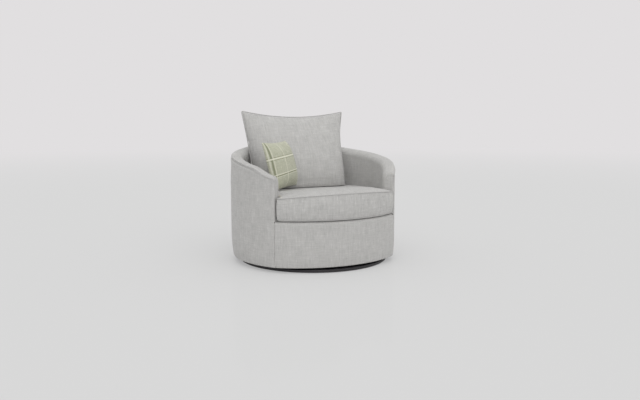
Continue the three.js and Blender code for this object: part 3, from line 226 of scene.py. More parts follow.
class StageSizes(bpy.types.PropertyGroup):
    lens: FloatProperty(name="Lens", description="Focal length", default=35.0, unit="CAMERA")
    camera: FloatVectorProperty(
        name="Camera", description="Where the camera stands", default=(-1.6871, -3.6852, 0.8736), unit="LENGTH"
    )
    forward: FloatVectorProperty(
        name="Forward", description="The way the camera looks", default=(0.4230, 0.8979, -0.1217)
    )
    floor: colour("Floor", "The studio floor", 214, 214, 214)
    backdrop: colour("Backdrop", "What is behind the floor", 225, 223, 224)
    floor_radius: length("Floor radius", "How far the floor goes", 45.0)
    fade_start: length("Fade start", "Where the floor starts to turn into the backdrop", 4.0)
    fade_end: length("Fade end", "Where the floor has turned into the backdrop", 19.0)
    even: share("Even floor", "Share of the floor's own tone that light and shadow leave alone", 0.5)
    ambient: share("Ambient", "Strength of the light from all round", 0.80)
    key: share("Key", "Strength of the soft light from the front, above", 0.75)
    top: share("Top", "Strength of the soft light from overhead", 0.35)
    key_turn: turn("Key azimuth", "Where the key stands, counted from the front to the right", -8)
    key_height: turn("Key height", "How high the key stands", 38)
    softness: turn("Softness", "Angle that the key fills in the sky", 75)


GROUPS = {
    "barrel": BarrelSizes,
    "seat": SeatSizes,
    "back": BackSizes,
    "scatter": ScatterSizes,
    "base": BaseSizes,
    "finish": Finishes,
    "stage": StageSizes,
}


# Shader maths


class Wire:
    """A socket that Python's operators extend with Math nodes."""

    def __init__(self, shade, socket):
        self.shade, self.socket = shade, socket

    def __add__(self, other):
        return self.shade.math("ADD", self, other)

    def __sub__(self, other):
        return self.shade.math("SUBTRACT", self, other)

    def __rsub__(self, other):
        return self.shade.math("SUBTRACT", other, self)

    def __mul__(self, other):
        return self.shade.math("MULTIPLY", self, other)

    def __truediv__(self, other):
        return self.shade.math("DIVIDE", self, other)

    __radd__ = __add__
    __rmul__ = __mul__


class Shade:
    """One material's nodes. node() adds any node: its settings are set first, then its sockets' values and links."""

    def __init__(self, name):
        self.material = bpy.data.materials.new(name)
        self.material.use_nodes = True
        self.tree = self.material.node_tree
        self.surface = self.tree.nodes["Principled BSDF"]

    def node(self, kind, settings=None, sockets=None, output=0):
        made = self.tree.nodes.new(kind)
        for key, value in (settings or {}).items():
            if key == "stops":
                ramp = made.color_ramp
                while len(ramp.elements) < len(value):
                    ramp.elements.new(0.5)
                for element, (place, tint) in zip(ramp.elements, value):
                    element.position, element.color = place, tint
            else:
                setattr(made, key, value)
        for key, value in (sockets or {}).items():
            self.feed(made.inputs[key], value)
        return Wire(self, made.outputs[output])

    def feed(self, socket, value):
        if isinstance(value, Wire):
            self.tree.links.new(value.socket, socket)
        elif socket.type == "RGBA" and len(value) == 3:
            socket.default_value = (*value, 1.0)
        else:
            socket.default_value = value

    def math(self, operation, *values):
        return self.node("ShaderNodeMath", {"operation": operation}, dict(enumerate(values)))

    def mix(self, factor, low, high, blend="MIX"):
        settings = {"data_type": "RGBA", "blend_type": blend}
        return self.node("ShaderNodeMix", settings, {0: factor, 6: low, 7: high}, output=2)

    def ramp(self, value, start, end, low=0.0, high=1.0):
        sockets = {0: value, 1: start, 2: end, 3: low, 4: high}
        return self.node("ShaderNodeMapRange", {"interpolation_type": "SMOOTHSTEP"}, sockets)

    def axes(self, vector):
        return [self.node("ShaderNodeSeparateXYZ", None, {0: vector}, output=k) for k in range(3)]

    def place(self, x, y=0.0, z=0.0):
        return self.node("ShaderNodeCombineXYZ", None, {0: x, 1: y, 2: z})

    def object_place(self):
        return self.node("ShaderNodeTexCoord", output="Object")

    def cloth_place(self):
        return self.node("ShaderNodeUVMap", {"uv_map": WEAVE})

    def noise(self, vector, scale, detail=2.0, roughness=0.5, dimensions="3D"):
        sockets = {"Vector": vector, "Scale": scale, "Detail": detail, "Roughness": roughness}
        return self.node("ShaderNodeTexNoise", {"noise_dimensions": dimensions}, sockets)

    def finish(self, **sockets):
        for key, value in sockets.items():
            self.feed(self.surface.inputs[key.replace("_", " ")], value)
        return self.material

    def bump(self, height, distance, strength=1.0):
        return self.node("ShaderNodeBump", None, {"Strength": strength, "Distance": distance, "Height": height})


WEAVE = "weave"
MATERIALS = {}


def tinted(base, by):
    """A colour made darker or lighter."""
    return tuple(min(1.0, channel * by) for channel in base)


def material(name):
    return MATERIALS[name]


def weave_parts(shade, pitch):
    """A plain weave on the cloth's own coordinates: its height and both coordinates."""
    u, v, _ = shade.axes(shade.cloth_place())
    wobble = shade.noise(shade.place(u, v), 9.0, 1.0, dimensions="2D") * (0.6 * pitch)
    across, along = (u + wobble) / pitch, (v + wobble) / pitch
    warp = shade.math("SINE", across * math.pi)
    weft = shade.math("SINE", along * math.pi)
    over = shade.ramp(warp * weft, -0.25, 0.25)
    ridges = shade.math("ABSOLUTE", warp) * over + shade.math("ABSOLUTE", weft) * (1.0 - over)
    return ridges, u, v


def woven_grey(finish):
    """Soft plain upholstery: light and dark threads with long slubs both ways, a fine weave and a little sheen."""
    shade = Shade("grey_upholstery")
    ridges, u, v = weave_parts(shade, finish.thread)
    warp_fine = shade.noise(shade.place(u * 420.0, v * 26.0), 1.0, 2.0, 0.6, "2D")
    warp_slub = shade.noise(shade.place(u * 120.0, v * 11.0, 3.0), 1.0, 2.0, 0.55)
    weft_fine = shade.noise(shade.place(u * 26.0, v * 420.0, 7.0), 1.0, 2.0, 0.6)
    weft_slub = shade.noise(shade.place(u * 13.0, v * 130.0, 11.0), 1.0, 2.0, 0.55)
    cloud = shade.noise(shade.place(u, v, 5.0), 15.0, 3.0, 0.55)
    streak = shade.noise(shade.place(u * 62.0, v * 7.5, 13.0), 1.0, 2.0, 0.6)
    warp_tone = warp_fine * 0.44 + warp_slub * 0.38 + streak * 0.18
    weft_tone = weft_fine * 0.50 + weft_slub * 0.50
    tone = warp_tone * 0.52 + weft_tone * 0.36 + cloud * 0.12
    dark = shade.ramp(tone, 0.34, 0.51, 1.0, 0.0)
    light = shade.ramp(tone, 0.49, 0.66)
    body = shade.mix(dark * 0.66, finish.cloth, finish.cloth_dark)
    body = shade.mix(light * 0.66, body, finish.cloth_light)
    gaps = shade.ramp(ridges, 0.0, 0.55, 0.80, 1.0)
    shaded = shade.mix(1.0, body, shade.place(gaps, gaps, gaps), "MULTIPLY")
    return shade.finish(
        Base_Color=shaded,
        Roughness=shade.ramp(tone, 0.3, 0.7, 0.96, 0.86),
        Normal=shade.bump(tone * 0.5 + ridges * 0.5, 0.0006, 0.55),
        Sheen_Weight=0.18,
        Sheen_Roughness=0.45,
        Specular_IOR_Level=0.22,
    )


def check_line(shade, place, centre, width, wobble):
    """1 along one line of the check, with soft and slightly wandering edges."""
    off = shade.math("ABSOLUTE", place - centre + wobble)
    return shade.ramp(off, width * 0.38, width * 0.62, 1.0, 0.0)


def checked_sage(finish):
    """Sage cloth with a wide window check: cream lines, and darker lines beside two of them."""
    shade = Shade("checked_cloth")
    ridges, u, v = weave_parts(shade, finish.thread * 1.5)
    wander = (shade.noise(shade.place(u, v, 1.0), 60.0, 2.0) - 0.5) * 0.0016
    warp_tone = shade.noise(shade.place(u * 300.0, v * 22.0), 1.0, 2.0, 0.6, "2D")
    weft_tone = shade.noise(shade.place(u * 22.0, v * 300.0, 4.0), 1.0, 2.0, 0.6)
    tone = warp_tone * 0.5 + weft_tone * 0.5
    ground = shade.mix(shade.ramp(tone, 0.32, 0.5, 0.42, 0.0), finish.sage, finish.sage_dark)
    ground = shade.mix(shade.ramp(tone, 0.52, 0.7, 0.0, 0.45), ground, finish.cream)
    level = v - u * 0.045
    beside = [(level, 0.0395, 0.0034), (level, 0.0550, 0.0034)]
    dark_lines = [(u, -0.1420, 0.0066), (u, 0.0900, 0.0066), (level, -0.0605, 0.0066), *beside]
    light_lines = [(u, 0.0990, 0.0060), (u, -0.0480, 0.0044), (level, -0.0535, 0.0058)]
    faint_lines = [(u, -0.1345, 0.0040), (u, -0.1495, 0.0040), (u, 0.0820, 0.0050), (level, -0.0670, 0.0042)]
    for place, centre, width in dark_lines:
        ground = shade.mix(check_line(shade, place, centre, width, wander) * 0.78, ground, finish.sage_dark)
    for place, centre, width in faint_lines:
        ground = shade.mix(check_line(shade, place, centre, width, wander) * 0.55, ground, finish.cream)
    for place, centre, width in [*light_lines, (level, 0.0473, 0.0095)]:
        ground = shade.mix(check_line(shade, place, centre, width, wander) * 0.85, ground, finish.cream)
    gaps = shade.ramp(ridges, 0.0, 0.55, 0.76, 1.0)
    shaded = shade.mix(1.0, ground, shade.place(gaps, gaps, gaps), "MULTIPLY")
    return shade.finish(
        Base_Color=shaded,
        Roughness=shade.ramp(tone, 0.3, 0.7, 0.97, 0.88),
        Normal=shade.bump(ridges * 0.6 + tone * 0.4, 0.0007, 0.6),
        Sheen_Weight=0.15,
        Sheen_Roughness=0.5,
        Specular_IOR_Level=0.2,
    )


def timber_finish(finish):
    """Sawn softwood: stretched growth rings, fibres and a rough, dry face."""
    shade = Shade("timber")
    x, y, z = shade.axes(shade.object_place())
    bent = shade.place(x * 9.0, y * 9.0, z * 1.3)
    warp = shade.noise(bent, 1.6, 3.0)
    rings = shade.math("SINE", warp * 26.0 + x * 40.0 + y * 40.0)
    fibre = shade.noise(shade.place(x * 240.0, y * 240.0, z * 9.0), 1.0, 3.0, 0.65)
    dark = tinted(finish.timber, 0.68)
    body = shade.mix(shade.ramp(rings, -0.4, 1.0) * 0.55, finish.timber, dark)
    body = shade.mix(shade.ramp(fibre, 0.45, 0.75) * 0.3, body, dark)
    return shade.finish(
        Base_Color=body,
        Roughness=shade.ramp(fibre, 0.2, 0.8, 0.58, 0.8),
        Normal=shade.bump(fibre * 0.7 + rings * 0.1, 0.0004, 0.5),
        Specular_IOR_Level=0.3,
    )


def speckled(name, base, fleck, scale, depth):
    """A matted or cellular stuff on object coordinates: darker or lighter flecks, small pits and a rough face."""
    shade = Shade(name)
    where = shade.object_place()
    coarse = shade.noise(where, scale, 3.0, 0.65)
    fine = shade.noise(where, scale * 4.3, 2.0, 0.6)
    cells = shade.node("ShaderNodeTexVoronoi", None, {"Vector": where, "Scale": scale * 2.4})
    body = shade.mix(shade.ramp(coarse, 0.42, 0.68) * 0.6, base, tinted(base, fleck))
    body = shade.mix(shade.ramp(fine, 0.5, 0.75) * 0.3, body, tinted(base, fleck))
    return shade.finish(
        Base_Color=body,
        Roughness=shade.ramp(fine, 0.3, 0.7, 0.85, 0.98),
        Normal=shade.bump(coarse * 0.5 + cells * 0.5, depth, 0.6),
        Specular_IOR_Level=0.2,
    )


def lacquered(finish):
    """Satin charcoal lacquer with a faint orange peel and dust in the gloss."""
    shade = Shade("plinth")
    where = shade.object_place()
    peel = shade.noise(where, 420.0, 2.0)
    cloud = shade.noise(where, 16.0, 3.0)
    body = shade.mix(shade.ramp(cloud, 0.35, 0.75) * 0.35, finish.plinth, tinted(finish.plinth, 1.35))
    return shade.finish(
        Base_Color=body,
        Roughness=shade.ramp(cloud, 0.3, 0.7, 0.36, 0.48),
        Normal=shade.bump(peel, 0.00008, 0.5),
        Specular_IOR_Level=0.45,
    )


def metal(name, base, rough, grain):
    """Plated or drawn metal: fine rolling lines, a cloudy bloom and a matching spread of gloss."""
    shade = Shade(name)
    x, y, z = shade.axes(shade.object_place())
    lines = shade.noise(shade.place(x * grain, y * grain * 0.05, z * grain), 1.0, 3.0, 0.6)
    bloom = shade.noise(shade.object_place(), 38.0, 3.0)
    body = shade.mix(shade.ramp(bloom, 0.35, 0.7) * 0.3, base, tinted(base, 0.72))
    return shade.finish(
        Base_Color=body,
        Metallic=1.0,
        Roughness=shade.ramp(lines * 0.6 + bloom * 0.4, 0.3, 0.7, rough - 0.07, rough + 0.1),
        Normal=shade.bump(lines, 0.00005, 0.5),
    )


def nylon_finish(finish):
    """Moulded nylon coil and its woven tape."""
    shade = Shade("zip_nylon")
    where = shade.object_place()
    ribs = shade.noise(where, 900.0, 2.0)
    cloud = shade.noise(where, 60.0, 2.0)
    body = shade.mix(shade.ramp(cloud, 0.3, 0.7) * 0.3, finish.nylon, tinted(finish.nylon, 0.75))
    return shade.finish(
        Base_Color=body,
        Roughness=shade.ramp(cloud, 0.3, 0.7, 0.42, 0.6),
        Normal=shade.bump(ribs, 0.0001, 0.5),
    )


def make_materials(finish):
    MATERIALS.update(
        grey_upholstery=woven_grey(finish),
        checked_cloth=checked_sage(finish),
        timber=timber_finish(finish),
        plinth=lacquered(finish),
        felt=speckled("felt", finish.felt, 1.7, 260.0, 0.0005),
        fibreboard=speckled("fibreboard", finish.board, 0.6, 90.0, 0.0002),
        foam=speckled("foam", finish.foam, 0.8, 190.0, 0.0006),
        wadding=speckled("wadding", finish.wadding, 1.25, 45.0, 0.0012),
        black_cloth=speckled("black_cloth", finish.black, 2.2, 330.0, 0.0003),
        bearing_steel=metal("bearing_steel", finish.steel, 0.34, 420.0),
        fastener=metal("fastener", finish.steel, 0.30, 700.0),
        spring_wire=metal("spring_wire", finish.wire, 0.42, 300.0),
        zip_nylon=nylon_finish(finish),
    )


# Meshes


def placed(name, data):
    """A new object in the scene, unturned and unscaled at the origin."""
    made = bpy.data.objects.new(name, data)
    bpy.context.scene.collection.objects.link(made)
    return made


def weave_layer(mesh, places):
    layer = mesh.uv_layers.new(name=WEAVE)
    layer.data.foreach_set("uv", np.asarray(places, np.float32).ravel())


def make_mesh(name, points, faces, weave=None, sharp=50):
    """An object with its place in its mesh, faces outwards, smooth but for its sharp edges."""
    mesh = bpy.data.meshes.new(name)
    mesh.from_pydata(np.asarray(points, float).tolist(), [], faces)
    if weave is not None:
        weave_layer(mesh, [weave[corner] for face in faces for corner in face])
    work = bmesh.new()
    work.from_mesh(mesh)
    bmesh.ops.recalc_face_normals(work, faces=work.faces)
    if work.calc_volume(signed=True) < 0:
        bmesh.ops.reverse_faces(work, faces=work.faces)
    work.to_mesh(mesh)
    work.free()
    mesh.polygons.foreach_set("use_smooth", [True] * len(mesh.polygons))
    mesh.set_sharp_from_angle(angle=math.radians(sharp))
    return placed(name, mesh)


def shell(name, grid, weave, thickness, outwards):
    """A sheet of cloth with its real thickness, closed at every edge. outwards is 1 or -1."""
    rows, columns = grid.shape[:2]
    across, up = np.gradient(grid, axis=0), np.gradient(grid, axis=1)
    normal = np.cross(across, up) * outwards
    normal /= np.maximum(np.linalg.norm(normal, axis=2, keepdims=True), 1e-12)
    back = grid - normal * thickness
    count = rows * columns
    index = np.arange(count).reshape(rows, columns)
    faces = []
    for i in range(rows - 1):
        for j in range(columns - 1):
            a, b, c, d = index[i, j], index[i + 1, j], index[i + 1, j + 1], index[i, j + 1]
            faces.append((a, b, c, d))
            faces.append((d + count, c + count, b + count, a + count))
    edge = [*index[0, :-1], *index[:-1, -1], *index[-1, :0:-1], *index[:0:-1, 0]]
    for a, b in zip(edge, edge[1:] + edge[:1]):
        faces.append((a, b, b + count, a + count))
    faces = [tuple(int(k) for k in face) for face in faces]
    points = np.concatenate([grid.reshape(-1, 3), back.reshape(-1, 3)])
    places = np.concatenate([weave.reshape(-1, 2)] * 2)
    return make_mesh(name, points, faces, places)


def tube(name, path, radius, sides, closed, offset=0.0):
    """A cord along a path, with the cloth's coordinates running along it and round it."""
    path = np.asarray(path, float)
    count = len(path)
    ahead = np.roll(path, -1, 0) - np.roll(path, 1, 0) if closed else np.gradient(path, axis=0)
    ahead /= np.linalg.norm(ahead, axis=1, keepdims=True)
    side = np.cross(ahead[0], (0.0, 0.0, 1.0))
    if np.linalg.norm(side) < 0.1:
        side = np.cross(ahead[0], (0.0, 1.0, 0.0))
    sides_at = []
    for way in ahead:
        side = side - way * np.dot(side, way)
        side /= np.linalg.norm(side)
        sides_at.append(side)
    sides_at = np.array(sides_at)
    lifts = np.cross(ahead, sides_at)
    turns = np.arange(sides) * 2 * np.pi / sides
    points = (
        path[:, None]
        + radius * np.cos(turns)[None, :, None] * sides_at[:, None]
        + radius * np.sin(turns)[None, :, None] * lifts[:, None]
    ).reshape(-1, 3)
    run = np.concatenate([[0], np.cumsum(np.linalg.norm(np.diff(path, axis=0), axis=1))]) + offset
    closing = run[-1] + np.linalg.norm(path[0] - path[-1])
    faces, places = [], []
    for i in range(count if closed else count - 1):
        j = (i + 1) % count
        end = run[j] if j else closing
        for k in range(sides):
            m = (k + 1) % sides
            faces.append((i * sides + k, j * sides + k, j * sides + m, i * sides + m))
            low, high = radius * turns[k], radius * (turns[k] + turns[1])
            places += [(run[i], low), (end, low), (end, high), (run[i], high)]
    if not closed:
        points = np.concatenate([points, path[:1] - ahead[:1] * radius * 0.5, path[-1:] + ahead[-1:] * radius * 0.5])
        first, last = count * sides, count * sides + 1
        for k in range(sides):
            m = (k + 1) % sides
            faces.append((k, m, first))
            faces.append(((count - 1) * sides + m, (count - 1) * sides + k, last))
            places += [(offset, radius * turns[k])] * 3 + [(closing, radius * turns[k])] * 3
    made = make_mesh(name, points, faces, sharp=80)
    weave_from_faces(made, faces, places)
    return made


def weave_from_faces(made, faces, places):
    """Gives each corner its own cloth coordinate, whichever way round its face was turned."""
    wanted = {}
    at = 0
    for face in faces:
        wanted[frozenset(face)] = dict(zip(face, places[at : at + len(face)]))
        at += len(face)
    corners = []
    for polygon in made.data.polygons:
        lookup = wanted[frozenset(polygon.vertices)]
        corners += [lookup[vertex] for vertex in polygon.vertices]
    weave_layer(made.data, corners)


def applied(made):
    """Turns the modifiers' result into the object's plain mesh."""
    graph = bpy.context.evaluated_depsgraph_get()
    graph.update()
    mesh = bpy.data.meshes.new_from_object(made.evaluated_get(graph), preserve_all_data_layers=True, depsgraph=graph)
    made.modifiers.clear()
    old = made.data
    made.data = mesh
    bpy.data.meshes.remove(old)
    made.data.name = made.name
    return made


def refined(made, levels=1):
    step = made.modifiers.new("finer", "SUBSURF")
    step.levels = step.render_levels = levels
    return applied(made)


def points_of(mesh_holder, field="co"):
    """The points of an object or mesh, or another vector that each of its points has."""
    vertices = getattr(mesh_holder, "data", mesh_holder).vertices
    flat = np.zeros(len(vertices) * 3)
    vertices.foreach_get(field, flat)
    return flat.reshape(-1, 3)


def move_points(made, points):
    made.data.vertices.foreach_set("co", np.asarray(points, np.float32).ravel())
    made.data.update()


def dress(made, body, slot, *replaced, fill=None):
    """Gives a finished piece its material, hangs it on the body that it rides on and hides the parts that it stands
    for. fill is not used.
    """
    made.data.materials.clear()
    made.data.materials.append(material(slot))
    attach(made, body)
    if replaced:
        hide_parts(*replaced)
    return made


def ripple(s, seed, *waves):
    """A smooth wandering value along s, from a few waves of given length in metres. About -1 to 1."""
    draw = np.random.default_rng(seed)
    total = np.zeros_like(np.asarray(s, float))
    for wave in waves:
        for stretch in (1.0, 1.37, 0.71):
            total += np.sin(2 * np.pi * (s / (wave * stretch) + draw.random())) / (3 * len(waves))
    return total * 1.6


def smooth(value, start, end):
    t = np.clip((np.asarray(value, float) - start) / (end - start), 0, 1)
    return t * t * (3 - 2 * t)


def puff(made, pinned, pressure, growth, cap, slim=None, frames=20, stiffness=10.0, bending=0.4):
    """Inflates a cushion's cover as cloth, held at the pinned points. It starts at the slim places, moves no point
    further than the cap, and leaves the cover at least as full as it was made."""
    full, out = points_of(made), points_of(made, "normal")
    start = full if slim is None else slim
    move_points(made, start)
    group = made.vertex_groups.new(name="sewn")
    for weight in np.unique(pinned[pinned > 0]):
        group.add([int(k) for k in np.nonzero(pinned == weight)[0]], float(weight), "REPLACE")
    step = made.modifiers.new("puff", "CLOTH")
    cloth = step.settings
    cloth.quality = 5
    cloth.mass = 0.3
    cloth.tension_stiffness = cloth.compression_stiffness = stiffness
    cloth.shear_stiffness = stiffness * 0.4
    cloth.bending_stiffness = bending
    cloth.use_pressure = True
    cloth.uniform_pressure_force = pressure
    cloth.shrink_min = -growth
    cloth.vertex_group_mass = "sewn"
    cloth.effector_weights.gravity = 0.0
    step.point_cache.frame_start, step.point_cache.frame_end = 1, frames
    scene = bpy.context.scene
    for at in range(1, frames + 1):
        scene.frame_set(at)
    graph = bpy.context.evaluated_depsgraph_get()
    shift = points_of(made.evaluated_get(graph).to_mesh()) - start
    made.evaluated_get(graph).to_mesh_clear()
    made.modifiers.clear()
    made.vertex_groups.clear()
    scene.frame_set(1)
    far = np.linalg.norm(shift, axis=1, keepdims=True)
    soft = cap * np.tanh(far / cap)
    moved = start + shift * soft / np.maximum(far, 1e-9) - full
    proud = (moved * out).sum(1, keepdims=True)
    over = proud + 0.001
    kept = (over + np.hypot(over, 0.001)) / 2 - 0.001
    free = (1 - pinned)[:, None]
    move_points(made, full + (moved - out * proud) * 0.6 + out * (proud + (kept - proud) * free))
    return made


def repeat_tree(name, finish_material, lay):
    """Small bars set along a curve at a spacing, turned along it, as plain faces with one material. lay is the turn
    that brings a bar's length, which starts upright, along the curve's own axes."""
    tree = bpy.data.node_groups.new(name, "GeometryNodeTree")
    face = tree.interface
    face.new_socket("Geometry", in_out="INPUT", socket_type="NodeSocketGeometry")
    face.new_socket("Spacing", in_out="INPUT", socket_type="NodeSocketFloat")
    face.new_socket("Size", in_out="INPUT", socket_type="NodeSocketVector")
    face.new_socket("Geometry", in_out="OUTPUT", socket_type="NodeSocketGeometry")
    add, link = tree.nodes.new, tree.links.new
    given, result = add("NodeGroupInput"), add("NodeGroupOutput")
    spaced = add("GeometryNodeResampleCurve")
    spaced.mode = "LENGTH"
    link(given.outputs["Geometry"], spaced.inputs["Curve"])
    link(given.outputs["Spacing"], spaced.inputs["Length"])
    bar = add("GeometryNodeMeshCylinder")
    bar.inputs["Vertices"].default_value = 8
    bar.inputs["Radius"].default_value = 0.5
    bar.inputs["Depth"].default_value = 1.0
    body = add("GeometryNodeTransform")
    body.inputs["Rotation"].default_value = lay
    link(bar.outputs["Mesh"], body.inputs["Geometry"])
    along = add("GeometryNodeInputTangent")
    aim = add("FunctionNodeAlignRotationToVector")
    aim.axis = "X"
    aim.pivot_axis = "Z"
    link(along.outputs[0], aim.inputs["Vector"])
    put = add("GeometryNodeInstanceOnPoints")
    link(spaced.outputs["Curve"], put.inputs["Points"])
    link(body.outputs["Geometry"], put.inputs["Instance"])
    link(aim.outputs["Rotation"], put.inputs["Rotation"])
    link(given.outputs["Size"], put.inputs["Scale"])
    real = add("GeometryNodeRealizeInstances")
    link(put.outputs["Instances"], real.inputs["Geometry"])
    paint = add("GeometryNodeSetMaterial")
    paint.inputs["Material"].default_value = finish_material
    link(real.outputs["Geometry"], paint.inputs["Geometry"])
    link(paint.outputs["Geometry"], result.inputs["Geometry"])
    return tree


def repeated(name, paths, spacing, size, slot, lay=(0.0, 0.0, 0.0)):
    """Repeats a small bar along one or more paths, as one plain mesh."""
    curve = bpy.data.curves.new(name, "CURVE")
    curve.dimensions = "3D"
    for path in paths:
        line = curve.splines.new("POLY")
        line.points.add(len(path) - 1)
        line.points.foreach_set("co", [value for point in path for value in (*point, 1.0)])
    holder = placed(name, curve)
    step = holder.modifiers.new("repeat", "NODES")
    step.node_group = repeat_tree(name, material(slot), lay)
    inputs = [i for i in step.node_group.interface.items_tree if i.in_out == "INPUT"]
    sockets = {item.name: item.identifier for item in inputs}
    step[sockets["Spacing"]] = spacing
    step[sockets["Size"]] = size
    graph = bpy.context.evaluated_depsgraph_get()
    graph.update()
    mesh = bpy.data.meshes.new_from_object(holder.evaluated_get(graph), depsgraph=graph)
    bpy.data.objects.remove(holder)
    bpy.data.curves.remove(curve)
    mesh.name = name
    mesh.polygons.foreach_set("use_smooth", [True] * len(mesh.polygons))
    mesh.set_sharp_from_angle(angle=math.radians(60))
    return placed(name, mesh)


def landed(piece, points, way):
    """Where lines along a way first meet a piece, one for each starting point."""
    mesh = piece.data
    tree = BVHTree.FromPolygons([v.co for v in mesh.vertices], [p.vertices for p in mesh.polygons])
    return np.array([tree.ray_cast(Vector(point), Vector(way))[0] for point in points])


# The barrel's lines


def round_inset(radius, depth):
    """How far a rounded edge stands back at a depth behind its face."""
    return radius - np.sqrt(np.maximum(radius**2 - np.maximum(radius - depth, 0) ** 2, 0))


class Barrel:
    """Plans and heights of the wall, worked out from the barrel's sizes."""

    steps = 300
    cap_depths = np.array([0, 0.3, 0.8, 1.5, 2.5, 3.7, 5.2, 7, 9, 11.5, 15, 19, 24, 29.5]) / 1000

    def __init__(self, s):
        self.s = s
        self.inner = s.radius - s.wall
        bend = self.inner + s.corner
        self.corner_line = math.sqrt(bend**2 - s.corner**2)
        self.corner_turn = math.asin(s.corner / bend)
        seam_x, seam_y = s.radius * math.sin(s.seam_angle), s.radius * math.cos(s.seam_angle)
        bulge = s.reach - seam_y
        self.arc = (seam_x**2 + bulge**2) / (2 * bulge)
        self.arc_centre = self.arc - s.reach
        self.arc_half = math.asin(seam_x / self.arc)

    def along(self, side):
        return np.array([side * math.sin(self.s.seam_angle), -math.cos(self.s.seam_angle)])

    def into(self, side):
        return np.array([side * math.cos(self.s.seam_angle), math.sin(self.s.seam_angle)])

    def rim(self, angle):
        s = self.s
        angle = np.asarray(angle, float)
        run = (np.minimum(angle, 2 * np.pi - angle) - s.seam_angle) / (math.pi - s.seam_angle)
        swell = s.rim_swell * smooth(run, 0.02, 0.15) * (1 - smooth(run, 0.2, 0.7))
        return s.rim + s.rise * (run + run**2 - run**3) + swell

    def cap_top(self, angle, depth):
        """The rim's height over an arm front, where it rolls down to the seam."""
        return float(self.rim(angle)) - float(round_inset(self.s.roll, depth))

    def drawn_in(self, z, most):
        """How far the cover is drawn in towards its hem."""
        t = np.clip((np.asarray(z, float) - self.s.hem) / self.s.draw_height, 0, 1)
        return most * (1 - t) ** 2.4

    def seam_depth(self, run):
        """How deep the rim's outer seam is drawn in. It fades out towards the arm fronts."""
        return self.s.groove * (0.12 + 0.88 * smooth(run, 0.07, 0.22))

    def shoulder(self, inner, outer):
        """Radius of the rim's inner edge over a stretch of wall. The narrow arm fronts have less room for it."""
        return min(self.s.inner_shoulder, outer - inner - self.s.outer_shoulder - 0.006)

    def sections(self):
        """Upright sections from the right arm front round the back to the left one: plan axes, depth, inner and
        outer reach, rim height and the run along the wall."""
        s = self.s
        first = s.seam_angle + 2 * self.corner_turn
        middle = s.radius - s.wall / 2
        found = []
        for side in (1, -1):
            caps = []
            for depth in self.cap_depths:
                inner = self.corner_line - math.sqrt(max(s.corner**2 - (s.corner - depth) ** 2, 0))
                angle = s.seam_angle + math.asin(depth / middle)
                caps.append((
                    self.along(side), self.into(side) * depth, depth, inner, math.sqrt(s.radius**2 - depth**2),
                    self.cap_top(angle, depth), angle if side > 0 else 2 * math.pi - angle,
                ))
            found.append(caps)
        radial = []
        for angle in np.linspace(first, 2 * math.pi - first, self.steps + 1):
            radial.append((np.array([math.sin(angle), -math.cos(angle)]), np.zeros(2), self.inner, self.inner,
                           s.radius, float(self.rim(angle)), angle))
        return [*found[0], *radial, *reversed(found[1])]

    def inside_line(self):
        """The inside's plan: along the right arm front, round its corner, along the wall, and the same on the left.
        Each place has its point, its way out of the wall, its height at the top and its run."""
        s = self.s
        places = []
        start = s.radius - s.cloth - s.seam_gap
        for side in (1, -1):
            along, into = self.along(side), self.into(side)
            part = []
            reaches = start - (start - self.corner_line) * np.linspace(0, 1, 17)
            for reach in reaches:
                part.append((along * reach, -into, self.front_top(reach)))
            centre = along * self.corner_line + into * s.corner
            last = math.pi / 2 - self.corner_turn
            for at in np.linspace(0, last, 15)[1:]:
                way = -into * math.cos(at) - along * math.sin(at)
                depth = s.corner * (1 - math.cos(at))
                angle = s.seam_angle + math.asin(depth / (s.radius - s.wall / 2))
                inner, outer = self.corner_line - s.corner * math.sin(at), math.sqrt(s.radius**2 - depth**2)
                top = self.cap_top(angle, depth) - self.shoulder(inner, outer) - s.seam_gap
                part.append((centre + way * s.corner, way, top))
            places.append(part)
        middle = []
        first = s.seam_angle + self.corner_turn
        for angle in np.linspace(first, 2 * math.pi - first, self.steps + 1)[1:-1]:
            out = np.array([math.sin(angle), -math.cos(angle)])
            middle.append((out * self.inner, -out, float(self.rim(angle)) - s.inner_shoulder - s.seam_gap))
        return [*places[0], *middle, *reversed(places[1])]

    def front_top(self, reach):
        """Height of the arm front's top seam, which follows the rim's arch inside its turned-down band."""
        s = self.s
        rim = s.rim - s.roll
        shoulder = self.shoulder(self.corner_line, s.radius)
        outer_centre = s.radius - s.outer_shoulder
        inner_centre = self.corner_line + shoulder
        small, large = s.outer_shoulder - s.band, shoulder - s.band
        if reach > outer_centre:
            return rim - s.outer_shoulder + math.sqrt(max(small**2 - (reach - outer_centre) ** 2, 0)) - s.seam_gap
        if reach < inner_centre:
            return rim - shoulder + math.sqrt(max(large**2 - (inner_centre - reach) ** 2, 0)) - s.seam_gap
        run = (reach - inner_centre) / (outer_centre - inner_centre)
        return rim - s.band + s.crown * 4 * run * (1 - run) - s.seam_gap

    def arch(self, section, inset):
        """The rim's arch over one section, from the welt over the top to the inner face: reach and height."""
        s = self.s
        _, _, _, inner, outer, rim, _ = section
        shoulder = self.shoulder(inner, outer)
        outer_centre, inner_centre = outer - s.outer_shoulder, inner + shoulder
        small, large = s.outer_shoulder - inset, shoulder - inset
        outer_turn = np.radians(np.linspace(8, 90, 10))
        inner_turn = np.radians(np.linspace(90, 0, 14))
        run = np.linspace(0, 1, 13)[1:-1]
        reach = np.concatenate([
            outer_centre + small * np.cos(outer_turn),
            outer_centre + (inner_centre - outer_centre) * run,
            inner_centre - large * np.cos(inner_turn),
        ])
        height = np.concatenate([
            rim - s.outer_shoulder + small * np.sin(outer_turn),
            rim - inset + s.crown * 4 * run * (1 - run),
            rim - shoulder + large * np.sin(inner_turn),
        ])
        return reach, height


